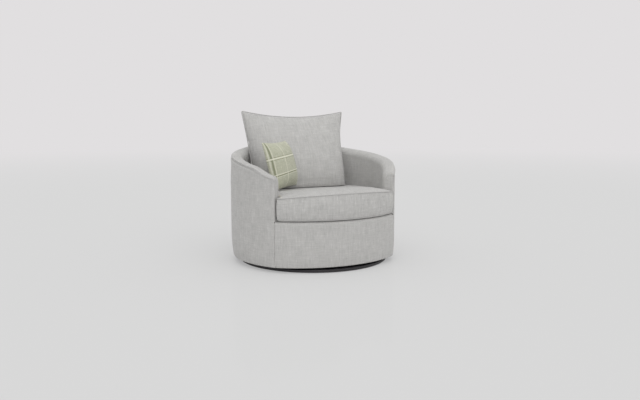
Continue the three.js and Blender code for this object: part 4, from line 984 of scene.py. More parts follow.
def run_of(points):
    """Distance run along a row of points."""
    steps = np.linalg.norm(np.diff(np.asarray(points, float), axis=0), axis=1)
    return np.concatenate([[0], np.cumsum(steps)])


def rim_cover(barrel):
    s = barrel.s
    sections = barrel.sections()
    front, back = sections[0], sections[-1]
    rows = []
    band = [s.band, s.band * 0.75, s.band * 0.5, s.band * 0.25]
    for section in sections:
        depth = section[2]
        inset = float(round_inset(s.edge, depth)) if depth < barrel.inner else 0.0
        rows.append((section, inset))
    rows = [*((front, s.edge + k) for k in band), *rows, *((back, s.edge + k) for k in reversed(band))]
    grid, middle = [], []
    for section, inset in rows:
        along, foot = section[0], section[1]
        reach, height = barrel.arch(section, min(inset, s.outer_shoulder * 0.9))
        grid.append(np.column_stack([along[0] * reach + foot[0], along[1] * reach + foot[1], height]))
        middle.append(grid[-1][len(reach) // 2])
    grid = np.array(grid)
    run = run_of(middle)
    across = np.array([run_of(row) for row in grid])
    out = grid[:, 0, :2] / np.linalg.norm(grid[:, 0, :2], axis=1, keepdims=True)
    drawn = barrel.seam_depth(np.minimum(run, run[-1] - run))[:, None]
    rolled = 0.8 * drawn * (1 - smooth(across, 0, 0.010)) ** 2
    grid[:, :, :2] -= out[:, None, :] * rolled[:, :, None]
    # Padding under the cloth is never quite even, and the cloth is eased where it is sewn to the welt
    wave = ripple(run, 3, 0.31, 0.17)[:, None] * np.sin(np.linspace(0, np.pi, grid.shape[1]))[None, :]
    pucker = ripple(run, 5, 0.024, 0.041)[:, None] * np.exp(-across / 0.012)
    away = smooth(run, 0.02, 0.08) * smooth(run[-1] - run, 0.02, 0.08)
    lift = (0.0009 * wave + 0.00035 * pucker) * away[:, None]
    grid[:, :, 2] += lift
    weave = np.dstack([np.broadcast_to(run[:, None], across.shape), across])
    return shell("rim_cover_cloth", grid, weave, s.cloth, 1)


def hem_profile(s, middle):
    """The turned hem, from under the board round its bottom edge, as insets and heights."""
    turned = [(s.hem_turn, s.hem + 0.0010), (s.hem_turn * middle, s.hem + 0.0002)]
    return turned + [
        (s.hem_round * (1 - math.cos(t)), s.hem + s.hem_round * (1 - math.sin(t)))
        for t in np.radians(np.linspace(90, 0, 6))
    ]


def outside_cover(barrel):
    s = barrel.s
    ease = 0.004 / s.radius
    ends = s.seam_angle + ease * np.array([0, 0.12, 0.3, 0.55])
    even = np.linspace(s.seam_angle + ease, 2 * math.pi - s.seam_angle - ease, 331)
    angles = np.concatenate([ends, even, 2 * math.pi - ends[::-1]])
    gap = 0.0008 / s.radius
    angles = s.seam_angle + gap + (angles - s.seam_angle) * (1 - 2 * gap / (2 * math.pi - 2 * s.seam_angle))
    run = (angles - s.seam_angle) * s.radius
    length_all = run[-1]
    mid = s.hem + (s.border - s.hem) / 2
    grid = []
    edge_in = s.seam_round * (1 - smooth(np.minimum(run, length_all - run), 0, 0.004))
    for k, angle in enumerate(angles):
        top = float(barrel.rim(angle)) - s.outer_shoulder - s.welt - s.seam_gap
        heights = mid + (top - mid) * np.concatenate([np.linspace(0, 0.93, 48), [0.955, 0.972, 0.984, 0.993, 1.0]])
        low = s.hem + s.hem_round + (mid - s.hem - s.hem_round) * np.linspace(0, 1, 16)[1:-1]
        column = [(s.radius - inset, z) for inset, z in hem_profile(s, 0.5)]
        column = np.array(column + [(s.radius, z) for z in (*low, *heights)])
        reach, z = column[:, 0].copy(), column[:, 1]
        # The hem is drawn in, the padding swells the sides, and the top edge rolls in under the welt
        beside = float(smooth(min(run[k], length_all - run[k]), 0.0, 0.20))
        reach -= barrel.drawn_in(z, s.front_draw + (s.hem_draw - s.front_draw) * beside)
        swell = smooth(z, s.hem + 0.02, s.hem + 0.16) * (1 - smooth(z, top - 0.16, top - 0.02))
        reach += s.belly * swell * float(smooth(min(run[k], length_all - run[k]), 0.05, 0.35))
        drawn = barrel.seam_depth(min(run[k], length_all - run[k]))
        reach -= drawn * smooth(z, top - 0.010, top) ** 2
        reach += 0.35 * drawn * np.exp(-(((top - 0.016 - z) / 0.007) ** 2))
        reach -= edge_in[k]
        grid.append(np.column_stack([reach * math.sin(angle), -reach * math.cos(angle), z]))
    grid = np.array(grid)
    out = np.column_stack([np.sin(angles), -np.cos(angles)])
    high = grid[:, :, 2]
    wave = ripple(run, 11, 0.42, 0.23)[:, None] * np.sin(np.clip((high - s.hem) / 0.55, 0, 1) * np.pi)
    tops = high[:, -1:]
    pucker = ripple(run, 13, 0.022, 0.037)[:, None] * np.exp(-(tops - high) / 0.012)
    hem_wave = ripple(run, 17, 0.11, 0.19)[:, None] * np.exp(-(high - s.hem) / 0.03)
    away = (smooth(run, 0.0, 0.03) * smooth(length_all - run, 0.0, 0.03))[:, None]
    shift = (0.0008 * wave + 0.0004 * pucker + 0.0006 * hem_wave) * away - 0.0006
    grid[:, :, 0] += out[:, 0:1] * shift
    grid[:, :, 1] += out[:, 1:2] * shift
    up = np.array([run_of(row) for row in grid])
    weave = np.dstack([np.broadcast_to(run[:, None], up.shape), up])
    return shell("outside_cover_cloth", grid, weave, s.cloth, 1)


def inside_cover(barrel):
    s = barrel.s
    places = barrel.inside_line()
    plan = np.array([place[0] for place in places])
    out = np.array([place[1] for place in places])
    tops = np.array([place[2] for place in places])
    run = run_of(plan)
    rise = np.concatenate([[0, 0.01, 0.025, 0.05], np.linspace(0.08, 0.93, 34), [0.955, 0.975, 0.99, 1.0]])
    heights = s.seat_floor + (tops[:, None] - s.seat_floor) * rise[None, :]
    length_all = run[-1]
    seam = np.minimum(run, length_all - run)
    face = s.radius - s.cloth - barrel.corner_line
    edge = s.seam_round * (1 - smooth(seam, 0, 0.004))
    # A fold of spare cloth stands beside each front seam, and the padding swells the arm fronts between the seams
    fold = 0.0012 * np.exp(-(((seam - 0.0085) / 0.0035) ** 2))
    swell = 0.0012 * np.sin(np.clip(seam / (face + 0.02), 0, 1) * np.pi)
    high = 1 - smooth(rise, 0.86, 1.0)
    top_in = 0.0005 * smooth(heights, tops[:, None] - 0.004, tops[:, None])
    wave = ripple(run, 23, 0.33, 0.19)[:, None] * np.sin(rise * np.pi)[None, :] * smooth(seam, 0.05, 0.14)[:, None]
    shift = (fold + swell)[:, None] * high[None, :] - edge[:, None] - top_in + 0.0009 * wave - 0.0003
    grid = np.dstack([
        plan[:, 0:1] + out[:, 0:1] * shift,
        plan[:, 1:2] + out[:, 1:2] * shift,
        heights,
    ])
    weave = np.dstack([np.broadcast_to(run[:, None], heights.shape), heights])
    return shell("inside_cover_cloth", grid, weave, s.cloth, -1)


def front_border_cover(barrel):
    s = barrel.s
    half = barrel.arc_half - 0.0009 / barrel.arc
    ease = 0.004 / barrel.arc
    ends = np.array([0, 0.12, 0.3, 0.55]) * ease
    turns = np.concatenate([-half + ends, np.linspace(-half + ease, half - ease, 121), half - ends[::-1]])
    run = (turns + half) * barrel.arc
    line = hem_profile(s, 0.6)
    line += [(0.0, z) for z in np.linspace(s.hem + s.hem_round, s.border - s.lip, 30)[1:]]
    lip_turns = np.radians(np.linspace(0, 90, 9))[1:]
    line += [(s.lip * (1 - math.cos(t)), s.border - s.lip * (1 - math.sin(t))) for t in lip_turns]
    line += [(inset, s.border) for inset in np.linspace(s.lip, s.flange, 7)[1:]]
    line = np.array(line)
    up = run_of(line)
    edge = s.seam_round * (1 - smooth(np.minimum(run, run[-1] - run), 0, 0.004))
    grid = []
    swell_rows = np.sin(np.clip((line[:, 1] - s.hem) / (s.border - s.hem), 0, 1) * np.pi) * (line[:, 0] < s.lip * 0.5)
    wave = ripple(run, 31, 0.29, 0.17)
    pinch_run = np.minimum(run, run[-1] - run)
    for k, angle in enumerate(turns):
        inset = line[:, 0] + edge[k]
        near = smooth(pinch_run[k], 0, 0.05)
        inset = inset - swell_rows * (0.0006 * wave[k] * near + 0.0010 * near)
        # The hem's end is pinched in where it is folded over at the seam
        pinch = 0.003 * math.exp(-((pinch_run[k] / 0.010) ** 2))
        inset = inset + pinch * np.exp(-np.maximum(line[:, 1] - s.hem, 0) / 0.012)
        inset = inset + barrel.drawn_in(line[:, 1], s.front_draw)
        reach = barrel.arc - inset
        across, along = reach * math.sin(angle), barrel.arc_centre - reach * math.cos(angle)
        grid.append(np.column_stack([across, along, line[:, 1]]))
    grid = np.array(grid)
    weave = np.dstack(np.broadcast_arrays(run[:, None], up[None, :]))
    return shell("front_border_cloth", grid, weave, s.cloth, 1)


def rim_welt_path(barrel):
    s = barrel.s
    path = []
    for along, foot, _, _, outer, rim, angle in barrel.sections():
        beside = (min(angle, 2 * math.pi - angle) - s.seam_angle) * s.radius
        reach = outer - float(barrel.seam_depth(beside)) * 0.75
        path.append((*(along * reach + foot), rim - s.outer_shoulder))
    return path[2:-2]


class CHAIR_OT_barrel_covers(bpy.types.Operator):
    """Covers the barrel: outside, rim, inside with the arm fronts, front border and the rim's welt"""

    bl_idname = "chair.barrel_covers"
    bl_label = "Barrel covers"

    def execute(self, context):
        s = context.scene.chair_barrel
        barrel = Barrel(s)
        grey = "grey_upholstery"
        dress(outside_cover(barrel), "chair", grey, "outside_cover", fill=0.8)
        dress(rim_cover(barrel), "chair", grey, "rim_cover", fill=0.8)
        dress(inside_cover(barrel), "chair", grey, "inside_cover", fill=0.8)
        dress(front_border_cover(barrel), "chair", grey, "front_border_cover", fill=0.8)
        welt = tube("rim_welt_cord", rim_welt_path(barrel), s.welt, 10, False)
        dress(welt, "chair", grey, "rim_welt")
        return {"FINISHED"}


# Deck and underside


def flat_sheet(name, outline, bottom, top, sharp=40):
    """A flat sheet with an even thickness and softened edges, over a plan."""
    outline = np.asarray(outline, float)
    middle = outline.mean(0)
    count = len(outline)
    rings = []
    thick = top - bottom
    for share_in, z in ((0.0, bottom + thick * 0.25), (0.0, top - thick * 0.25), (thick * 0.3, top)):
        shrink = 1 - share_in / np.linalg.norm(outline - middle, axis=1, keepdims=True)
        rings.append(np.column_stack([middle + (outline - middle) * shrink, np.full(count, z)]))
    for size in (0.8, 0.6, 0.4, 0.2):
        rings.append(np.column_stack([middle + (outline - middle) * size, np.full(count, top)]))
    lower = [np.column_stack([ring[:, :2], np.full(count, bottom)]) for ring in reversed(rings[2:])]
    return ring_body(name, [*lower, *rings], (*middle, bottom), (*middle, top), sharp, woven=True)


def well_plan(barrel, front_inset, arm_depth, radius, steps=120):
    """The seat well: the front arc at an inset, the arm fronts at a depth behind their faces, and the wall."""
    reach = barrel.arc - front_inset
    along, foot = barrel.along(1), barrel.into(1) * arm_depth
    to_centre = np.array([-foot[0], barrel.arc_centre - foot[1]])
    beside = float(to_centre @ along)
    corner = foot + along * (beside + math.sqrt(beside**2 - to_centre @ to_centre + reach**2))
    notch = foot + along * math.sqrt(radius**2 - arm_depth**2)
    half = math.asin(corner[0] / reach)
    begin = math.atan2(notch[0], -notch[1])
    front = [(reach * math.sin(t), barrel.arc_centre - reach * math.cos(t)) for t in np.linspace(-half, half, 60)]
    wall = [(radius * math.sin(t), -radius * math.cos(t)) for t in np.linspace(begin, 2 * math.pi - begin, steps)]
    return front + wall


def holed_sheet(name, outline, hole, bottom, top, sag):
    """A thin sheet between an outline and a round hole, sagging a little in the middle."""
    outline = even_line(outline, 240)
    outwards = outline / np.linalg.norm(outline, axis=1, keepdims=True)
    rows = []
    for run in (0.0, 0.02, 0.08, 0.2, 0.4, 0.6, 0.8, 0.92, 0.98, 1.0):
        plan = outline + (outwards * hole - outline) * run
        rows.append(np.column_stack([plan, np.full(len(plan), -sag * math.sin(math.pi * run))]))
    rows = [row + (0, 0, top) for row in rows] + [row + (0, 0, bottom) for row in rows[::-1]]
    return make_mesh(name, np.concatenate(rows), ring_faces(len(rows), len(outline), True), sharp=40)


def body_plan(barrel, front_inset, wall_inset):
    """The whole body's plan: the front arc at one inset, and the wall at another."""
    s = barrel.s
    reach, radius = barrel.arc - front_inset, s.radius - wall_inset
    front = [(reach * math.sin(t), barrel.arc_centre - reach * math.cos(t))
             for t in np.linspace(-barrel.arc_half, barrel.arc_half, 60) * 0.985]
    wall = [(radius * math.sin(t), -radius * math.cos(t))
            for t in np.linspace(s.seam_angle + 0.03, 2 * math.pi - s.seam_angle - 0.03, 150)]
    return front + wall


class CHAIR_OT_deck(bpy.types.Operator):
    """Lays the deck cloth under the seat cushion, and staples the dust cover under the frame"""

    bl_idname = "chair.deck"
    bl_label = "Deck and dust cover"

    def execute(self, context):
        s = context.scene.chair_barrel
        barrel = Barrel(s)
        low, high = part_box("deck_cloth")
        radius = max(high.x, high.y)
        plan = well_plan(barrel, s.flange + s.seam_gap, s.deck_inset, radius)
        deck = flat_sheet("deck_cloth_sheet", plan, low.z, high.z)
        dress(deck, "chair", "grey_upholstery", "deck_cloth")
        low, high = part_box("dust_cover")
        plan = body_plan(barrel, s.reach + low.y, s.radius - high.y)
        cover = holed_sheet("dust_cover_sheet", plan, s.cover_hole, low.z, high.z, s.cover_sag)
        dress(cover, "chair", "black_cloth", "dust_cover")
        edge = body_plan(barrel, s.reach + low.y + s.staple_inset, s.radius - high.y + s.staple_inset)
        line = even_line(edge, 400)
        path = np.column_stack([line, np.full(len(line), low.z - s.staple_wire * 0.3)])
        size = (s.staple, s.staple_wire * 1.7, s.staple_wire)
        staples = repeated("dust_cover_staples", [[*path, path[0]]], s.staple_step, size, "fastener",
                           (0.0, math.pi / 2, 0.0))
        dress(staples, "chair", "fastener")
        return {"FINISHED"}


# Base


def lathe(name, profile, segments, sharp=35):
    """A turned body, closed on its axis at both ends of its profile."""
    turns = np.arange(segments) * 2 * np.pi / segments
    circle = np.column_stack([np.cos(turns), np.sin(turns)])
    rings = [np.column_stack([circle * r, np.full(segments, z)]) for r, z in profile if r > 0]
    return ring_body(name, rings, (0, 0, profile[0][1]), (0, 0, profile[-1][1]), sharp)


class CHAIR_OT_base(bpy.types.Operator):
    """Turns the lacquered plinth and its felt floor pad"""

    bl_idname = "chair.base"
    bl_label = "Plinth and floor pad"

    def execute(self, context):
        s = context.scene.chair_base
        low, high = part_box("base_plinth")
        edge = s.edge
        lower = [
            (s.plinth - edge + edge * math.sin(t), low.z + edge - edge * math.cos(t))
            for t in np.radians(np.linspace(0, 90, 7))
        ]
        upper = [
            (s.plinth - edge + edge * math.cos(t), high.z - edge + edge * math.sin(t))
            for t in np.radians(np.linspace(0, 90, 7))
        ]
        rows = [(0, low.z), *((r, low.z) for r in (0.1, 0.25, 0.4)), *lower, *upper]
        rows += [(r, high.z) for r in (0.4, 0.25, 0.1, s.recess + 0.0004)]
        rows += [(s.recess, high.z - 0.0004), (s.recess, high.z - s.recess_depth), (0, high.z - s.recess_depth)]
        dress(lathe("plinth_disc", rows, 192), "base", "plinth", "base_plinth")
        pad_edge = s.pad_top * 0.3
        rows = [(0, 0), (0.2, 0), (s.pad - pad_edge, 0), (s.pad, pad_edge), (s.pad, s.pad_top - pad_edge)]
        rows += [(s.pad - pad_edge, s.pad_top), (0.2, s.pad_top), (0, s.pad_top)]
        dress(lathe("felt_floor_pad", rows, 160), "base", "felt", "base_floor_pad")
        return {"FINISHED"}


# Seat cushion


# Rings of the crown: their size against the plan, and how far out they stand as a share
SEAT_CROWN = (
    (1, 0.985), (1, 0.96), (0.97, 0.93), (0.93, 0.89), (0.86, 0.83),
    (0.74, 0.72), (0.62, 0.6), (0.46, 0.45), (0.32, 0.3), (0.15, 0.15),
)


class Seat:
    """Plan and heights of the seat cushion."""

    def __init__(self, barrel, s):
        self.barrel, self.s = barrel, s
        self.line = self.outline()
        self.run = run_of(np.vstack([self.line, self.line[:1]]))

    def outline(self):
        """The T-shaped plan, anticlockwise from above, as evenly spaced points starting at the front centre."""
        s, b = self.s, self.barrel
        reach = b.arc + s.front_lead
        along, into = b.along(1), b.into(1)
        heel = along * b.corner_line - into * s.notch_gap
        way = along * b.s.radius - into * s.ear_gap - heel
        way /= np.linalg.norm(way)
        offset = heel - np.array([0, b.arc_centre])
        beside = float(offset @ way)
        run = -beside + math.sqrt(beside**2 - (offset @ offset - reach**2))
        on_line = lambda distance: heel + way * distance
        corner = on_line(run)
        corner_turn = math.asin(corner[0] / reach) - s.ear_run / reach
        arc = [(reach * math.sin(t), b.arc_centre - reach * math.cos(t)) for t in np.linspace(0, corner_turn, 80)]
        ear = curve_between(arc[-1], corner, on_line(run - s.ear_run))
        centre = along * b.corner_line + into * b.s.corner
        last = math.pi / 2 - b.corner_turn
        notch = [
            centre + (-into * math.cos(t) - along * math.sin(t))
            * (b.s.corner + s.notch_gap + (s.side_gap - s.notch_gap) * (1 - math.cos(t)))
            for t in np.linspace(0, last, 24)
        ]
        radius = b.inner - s.side_gap
        side_y = s.rear - 2 * s.rear_run + 0.008
        start = b.s.seam_angle + b.corner_turn
        end = math.pi - math.asin(math.sqrt(1 - (side_y / radius) ** 2))
        wall = [(radius * math.sin(t), -radius * math.cos(t)) for t in np.linspace(start, end, 160)[1:]]
        rear_corner = (math.sqrt(radius**2 - s.rear**2), s.rear)
        rear = curve_between(wall[-1], rear_corner, (s.zip_half + 0.0123, s.rear))
        half = np.array([*arc, *ear[1:], *notch, *wall, *rear[1:], (0, s.rear)])
        return even_line(np.vstack([half, (half * (-1, 1))[::-1]]), 560)

    def rise(self, y):
        return smooth(self.s.rise_start - np.asarray(y, float), 0, self.s.rise_run)

    def ear(self, x, y):
        return self.rise(y) * (np.asarray(x) / self.s.ear_half) ** 2

    def seam(self, x, y):
        s = self.s
        level = s.rear_seam + (s.front_seam - s.rear_seam) * self.rise(y) - s.ear_drop * self.ear(x, y)
        return level + s.tilt * np.asarray(x) * self.rise(y)

    def lip(self, x, y):
        return self.s.lip + self.s.lip_lift * self.ear(x, y)

    def dome(self, x, y):
        s = self.s
        level = s.rest + (s.front_top - s.rest) * self.rise(y) - s.ear_drop * self.ear(x, y) / 2
        return level + s.tilt * np.asarray(x) * self.rise(y)

    def drawn(self, inset):
        """The plan drawn in by an inset."""
        line = self.line
        wide = 1 + round(inset / 0.005)
        way = np.roll(line, -wide, 0) - np.roll(line, wide, 0)
        way /= np.linalg.norm(way, axis=1, keepdims=True)
        return line - np.column_stack([way[:, 1], -way[:, 0]]) * inset

    def rings(self, floor):
        s = self.s
        x, y = self.line.T
        lip, seam, dome = self.lip(x, y), self.seam(x, y), self.dome(x, y)
        middle = np.array([0, s.centre])
        rings = []

        def ring(inset, height, size=1.0):
            plan = middle + (self.drawn(inset) - middle) * size
            rings.append(np.column_stack([plan, height(plan) if callable(height) else height]))

        for size in (0.12, 0.3, 0.5, 0.7, 0.85, s.undercut):
            ring(s.rim_inset, np.full(len(x), floor), size)
        for t in (0.25, 0.5, 0.75, 1.0):
            turned = math.sin(t * math.pi / 2)
            inset = s.rim_inset + (s.seam_inset - s.rim_inset) * turned
            height = floor + (lip - floor) * (1 - math.cos(t * math.pi / 2)) ** 0.8
            ring(inset, height, s.undercut + (1 - s.undercut) * turned)
        for t in (0.06, 0.14, 0.25, 0.38, 0.5, 0.62, 0.75, 0.86, 0.94, 1.0):
            ring(s.seam_inset * (1 - math.sin(t * math.pi) ** 0.7), lip + t * (seam - lip))
        for size, out in SEAT_CROWN:
            inset = s.rim_inset * (0.6 if out > 0.97 else 1.0)
            drop = out**10 * (dome - seam)
            ring(inset, lambda plan, drop=drop: self.dome(plan[:, 0], plan[:, 1]) - drop, size)
        return rings, middle


def curve_between(start, over, end, steps=10):
    start, over, end = (np.asarray(p, float) for p in (start, over, end))
    t = np.linspace(0, 1, steps + 1)[:, None]
    return [tuple(p) for p in (1 - t) ** 2 * start + 2 * t * (1 - t) * over + t**2 * end]


def rounded_line(points, step, passes=2):
    """An open line through the points with an even step, its corners a little rounded."""
    run = run_of(points)
    at = np.linspace(0, run[-1], int(run[-1] / step))
    line = np.column_stack([np.interp(at, run, points[:, k]) for k in range(3)])
    for _ in range(passes):
        line[1:-1] = (line[:-2] + 2 * line[1:-1] + line[2:]) / 4
    return line


def even_line(points, count):
    """A closed line through the points, as evenly spaced points."""
    points = np.asarray(points, float)
    keep = np.linalg.norm(points - np.roll(points, 1, 0), axis=1) > 1e-6
    points = points[keep]
    closed = np.vstack([points, points[:1]])
    run = run_of(closed)
    at = np.linspace(0, run[-1], count, endpoint=False)
    return np.column_stack([np.interp(at, run, closed[:, k]) for k in range(closed.shape[1])])


def ring_faces(rows, count, closed=False):
    """Faces between rows of points, each row a ring. closed joins the last row to the first."""
    faces = []
    for r in range(rows if closed else rows - 1):
        low, high = r * count, (r + 1) % rows * count
        faces += [(low + j, low + (j + 1) % count, high + (j + 1) % count, high + j) for j in range(count)]
    return faces


def ring_body(name, rings, bottom, top, sharp=180, woven=False):
    """A closed body through a stack of rings. A woven one carries its plan as its cloth coordinates."""
    count = len(rings[0])
    points = np.concatenate([*rings, [bottom], [top]])
    faces = ring_faces(len(rings), count)
    low, high, last = len(rings) * count, len(rings) * count + 1, (len(rings) - 1) * count
    for j in range(count):
        k = (j + 1) % count
        faces.append((j, low, k))
        faces.append((last + j, last + k, high))
    return make_mesh(name, points, faces, points[:, :2] if woven else None, sharp)


def nearest(line, points, part=20000):
    """Which point of a plan line each point stands nearest to, worked out a part at a time."""
    found = []
    for start in range(0, len(points), part):
        away = points[start : start + part, None, :2].astype(np.float32) - line[None]
        found.append((away**2).sum(2).argmin(1))
    return np.concatenate(found)


def seat_weave(seat, made):
    """Cloth coordinates of the seat cover: flat on its top and bottom panels, and round the side panel."""
    mesh = made.data
    points = points_of(made)
    line = seat.line.astype(np.float32)
    near = nearest(line, points)
    seam = seat.seam(line[near, 0], line[near, 1])
    lip = seat.lip(line[near, 0], line[near, 1])
    corners = np.zeros(len(mesh.loops), int)
    mesh.loops.foreach_get("vertex_index", corners)
    starts = np.zeros(len(mesh.polygons), int)
    totals = np.zeros(len(mesh.polygons), int)
    mesh.polygons.foreach_get("loop_start", starts)
    mesh.polygons.foreach_get("loop_total", totals)
    face_of = np.repeat(np.arange(len(starts)), totals)
    height = np.bincount(face_of, points[corners, 2]) / totals
    face_seam = np.bincount(face_of, seam[corners]) / totals
    face_lip = np.bincount(face_of, lip[corners]) / totals
    side = (height < face_seam - 0.0005) & (height > face_lip + 0.0005)
    run = seat.run[near]
    total = seat.run[-1]
    first = run[corners[starts]][face_of]
    along = run[corners]
    along = np.where(along - first > total / 2, along - total, along)
    along = np.where(first - along > total / 2, along + total, along)
    flat = points[corners]
    places = np.where(side[face_of][:, None], np.column_stack([along, flat[:, 2]]), flat[:, :2])
    weave_layer(mesh, places)


def seat_cover(seat, floor):
    s = seat.s
    rings, middle = seat.rings(floor)
    bottom = (*middle, floor)
    top = (*middle, float(seat.dome(*middle)))
    made = ring_body("seat_cushion_cloth", rings, bottom, top)
    step = made.modifiers.new("even", "REMESH")
    step.mode = "VOXEL"
    step.voxel_size = 0.0065
    applied(made)
    points = points_of(made)
    x, y, z = points.T
    near = nearest(seat.line.astype(np.float32), points)
    to_edge = np.linalg.norm(points[:, :2] - seat.line[near], axis=1)
    seam, lip = seat.seam(*seat.line[near].T), seat.lip(*seat.line[near].T)
    off = np.minimum(np.hypot(z - seam, to_edge - s.seam_inset), np.hypot(z - lip, to_edge - s.seam_inset))
    past_zip = np.maximum(np.abs(x) - s.zip_half, 0)
    beside_zip = np.where(y > s.rear - 0.012, np.hypot(past_zip, z - (seam + lip) / 2), 1)
    off = np.minimum(off, beside_zip - 0.010)
    pinned = np.clip(np.round((1 - smooth(off, 0.004, 0.018)) * 10) / 10, 0, 1)
    puff(made, pinned, 3.0, 0.012, 0.006)
    refined(made)
    points = points_of(made)
    x, y, z = points.T
    under = smooth(y, 0.03, 0.07)
    z = np.minimum(z, s.rest - s.back_room + (1 - under) * 0.05)
    z = np.maximum(z, floor)
    move_points(made, np.column_stack([x, y, z]))
    made.data.polygons.foreach_set("use_smooth", [True] * len(made.data.polygons))
    seat_weave(seat, made)
    return made


def zip_strip(name, piece, half, width, way, across, start):
    """A zip's tape on a piece's skin, with its row of teeth and a row of stitches beside each edge. way is the way
    in from outside, across the way over the tape's width, and start a place outside the middle of the zip."""
    way, across, start = (np.array(v, float) for v in (way, across, start))
    xs = np.linspace(-half, half, 121)
    along = np.array([1.0, 0.0, 0.0])
    line = start + xs[:, None] * along
    tape_half = width * 1.05
    shares = np.array([-1.0, -0.85, -0.3, 0.0, 0.3, 0.85, 1.0])
    grid = np.array([[*landed(piece, line + across * (k * tape_half), way)] for k in shares]).transpose(1, 0, 2)
    lift = np.array([0.0001, 0.0004, 0.0005, 0.0005, 0.0005, 0.0004, 0.0001])
    grid = grid - way * lift[None, :, None]
    weave = np.dstack(np.broadcast_arrays(xs[:, None], (shares * tape_half)[None, :]))
    outwards = 1 if np.cross(along, across) @ way < 0 else -1
    tape = shell(f"{name}_tape", grid, weave, 0.0008, outwards)
    middle = grid[:, 3] - way * 0.0004
    lay = (math.pi / 2, 0.0, 0.0) if abs(across[1]) > 0.5 else (0.0, 0.0, 0.0)
    thick = (0.0013, width, 0.0011) if abs(across[1]) > 0.5 else (0.0013, 0.0011, width)
    teeth = repeated(f"{name}_teeth", [middle], 0.0021, thick, "zip_nylon", lay)
    rows = []
    for side in (-1, 1):
        place = landed(piece, line + across * (side * tape_half * 1.5), way)
        rows.append(place - way * 0.0001)
    stitches = repeated(f"{name}_stitches", rows, 0.0046, (0.0032, 0.0006, 0.0006), "grey_upholstery",
                        (0.0, math.pi / 2, 0.0))
    return tape, teeth, stitches, middle


def rounded_block(size, place, bevel):
    """Points and faces of a small block with rounded edges."""
    work = bmesh.new()
    bmesh.ops.create_cube(work, size=1.0)
    for vertex in work.verts:
        vertex.co = Vector(vertex.co[k] * size[k] for k in range(3))
    bmesh.ops.bevel(work, geom=list(work.edges), offset=bevel, segments=3, profile=0.5, affect="EDGES")
    for vertex in work.verts:
        vertex.co += Vector(place)
    work.verts.index_update()
    points = [tuple(vertex.co) for vertex in work.verts]
    faces = [tuple(vertex.index for vertex in face.verts) for face in work.faces]
    work.free()
    return points, faces


def slider(place):
    """A cast zip slider: its body, the bridge on top and a puller that hangs from it. place is the middle of the
    side that lies on the zip."""
    x, y, z = place
    parts = [
        rounded_block((0.0085, 0.0022, 0.0088), (x, y + 0.0013, z), 0.0009),
        rounded_block((0.0055, 0.0014, 0.0022), (x, y + 0.0029, z + 0.0010), 0.0005),
        rounded_block((0.0044, 0.0011, 0.0200), (x, y + 0.0030, z - 0.0112), 0.0004),
        rounded_block((0.0062, 0.0014, 0.0070), (x, y + 0.0030, z - 0.0178), 0.0006),
    ]
    points, faces = [], []
    for more, sides in parts:
        faces += [tuple(k + len(points) for k in side) for side in sides]
        points += more
    return make_mesh("zip_slider_cast", points, faces, sharp=60)


def seat_welt_path(seat, height, lift):
    s = seat.s
    away = (s.welt + 0.0003) * math.sqrt(0.5)
    plan = seat.drawn(s.seam_inset - away)
    return np.column_stack([plan, height(*seat.line.T) + lift * away])


class CHAIR_OT_seat_cushion(bpy.types.Operator):
    """Sews and fills the T-shaped seat cushion, with its welts, zip and zip slider"""

    bl_idname = "chair.seat_cushion"
    bl_label = "Seat cushion"

    def execute(self, context):
        barrel = Barrel(context.scene.chair_barrel)
        seat = Seat(barrel, context.scene.chair_seat)
        floor = barrel.s.seat_floor
        grey = "grey_upholstery"
        cover = seat_cover(seat, floor)
        dress(cover, "seat_cushion", grey, "seat_cushion_cover", fill=0.9)
        top = tube("seat_top_welt_cord", seat_welt_path(seat, seat.seam, 1), seat.s.welt, 10, True)
        dress(top, "seat_cushion", grey, "seat_cushion_top_welt")
        bottom = tube("seat_bottom_welt_cord", seat_welt_path(seat, seat.lip, -1), seat.s.welt, 10, True, offset=0.4)
        dress(bottom, "seat_cushion", grey, "seat_cushion_bottom_welt")
        s = seat.s
        low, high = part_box("seat_cushion_zip")
        start = (0.0, s.rear + 0.1, (low.z + high.z) / 2)
        tape, teeth, stitches, middle = zip_strip(
            "seat_zip", cover, s.zip_half, s.zip_width, (0, -1, 0), (0, 0, 1), start
        )
        dress(tape, "seat_cushion", "zip_nylon", "seat_cushion_zip")
        dress(teeth, "seat_cushion", "zip_nylon")
        dress(stitches, "seat_cushion", grey)
        low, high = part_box("seat_cushion_zip_slider")
        x = (low.x + high.x) / 2
        face = float(np.interp(x, middle[:, 0], middle[:, 1]))
        dress(slider((x, face, start[2])), "seat_zip_slider", "fastener", "seat_cushion_zip_slider")
        return {"FINISHED"}


# Pillows


def pillow(name, us, vs, place, flat):
    """A front and a back panel over one grid, sewn at its edge. place gives a point, flat its cloth coordinate."""
    points, index = [], {}
    last_i, last_j = len(us) - 1, len(vs) - 1

    def at(i, j, face):
        edge = i in (0, last_i) or j in (0, last_j)
        key = (i, j, 0 if edge else face)
        if key not in index:
            index[key] = len(points)
            points.append(place(us[i], vs[j], 0 if edge else face))
        return index[key]

    faces, places = [], []
    for i in range(last_i):
        for j in range(last_j):
            for face in (1, -1):
                corners = [(i, j), (i + 1, j), (i + 1, j + 1), (i, j + 1)]
                ring = tuple(at(a, b, face) for a, b in corners)
                spots = [flat(us[a], vs[b], face) for a, b in corners]
                faces.append(ring if face > 0 else ring[::-1])
                places += spots if face > 0 else spots[::-1]
    made = make_mesh(name, points, faces, sharp=180)
    weave_from_faces(made, faces, places)
    seam = np.array([k for (i, j, face), k in index.items() if face == 0])
    return made, seam


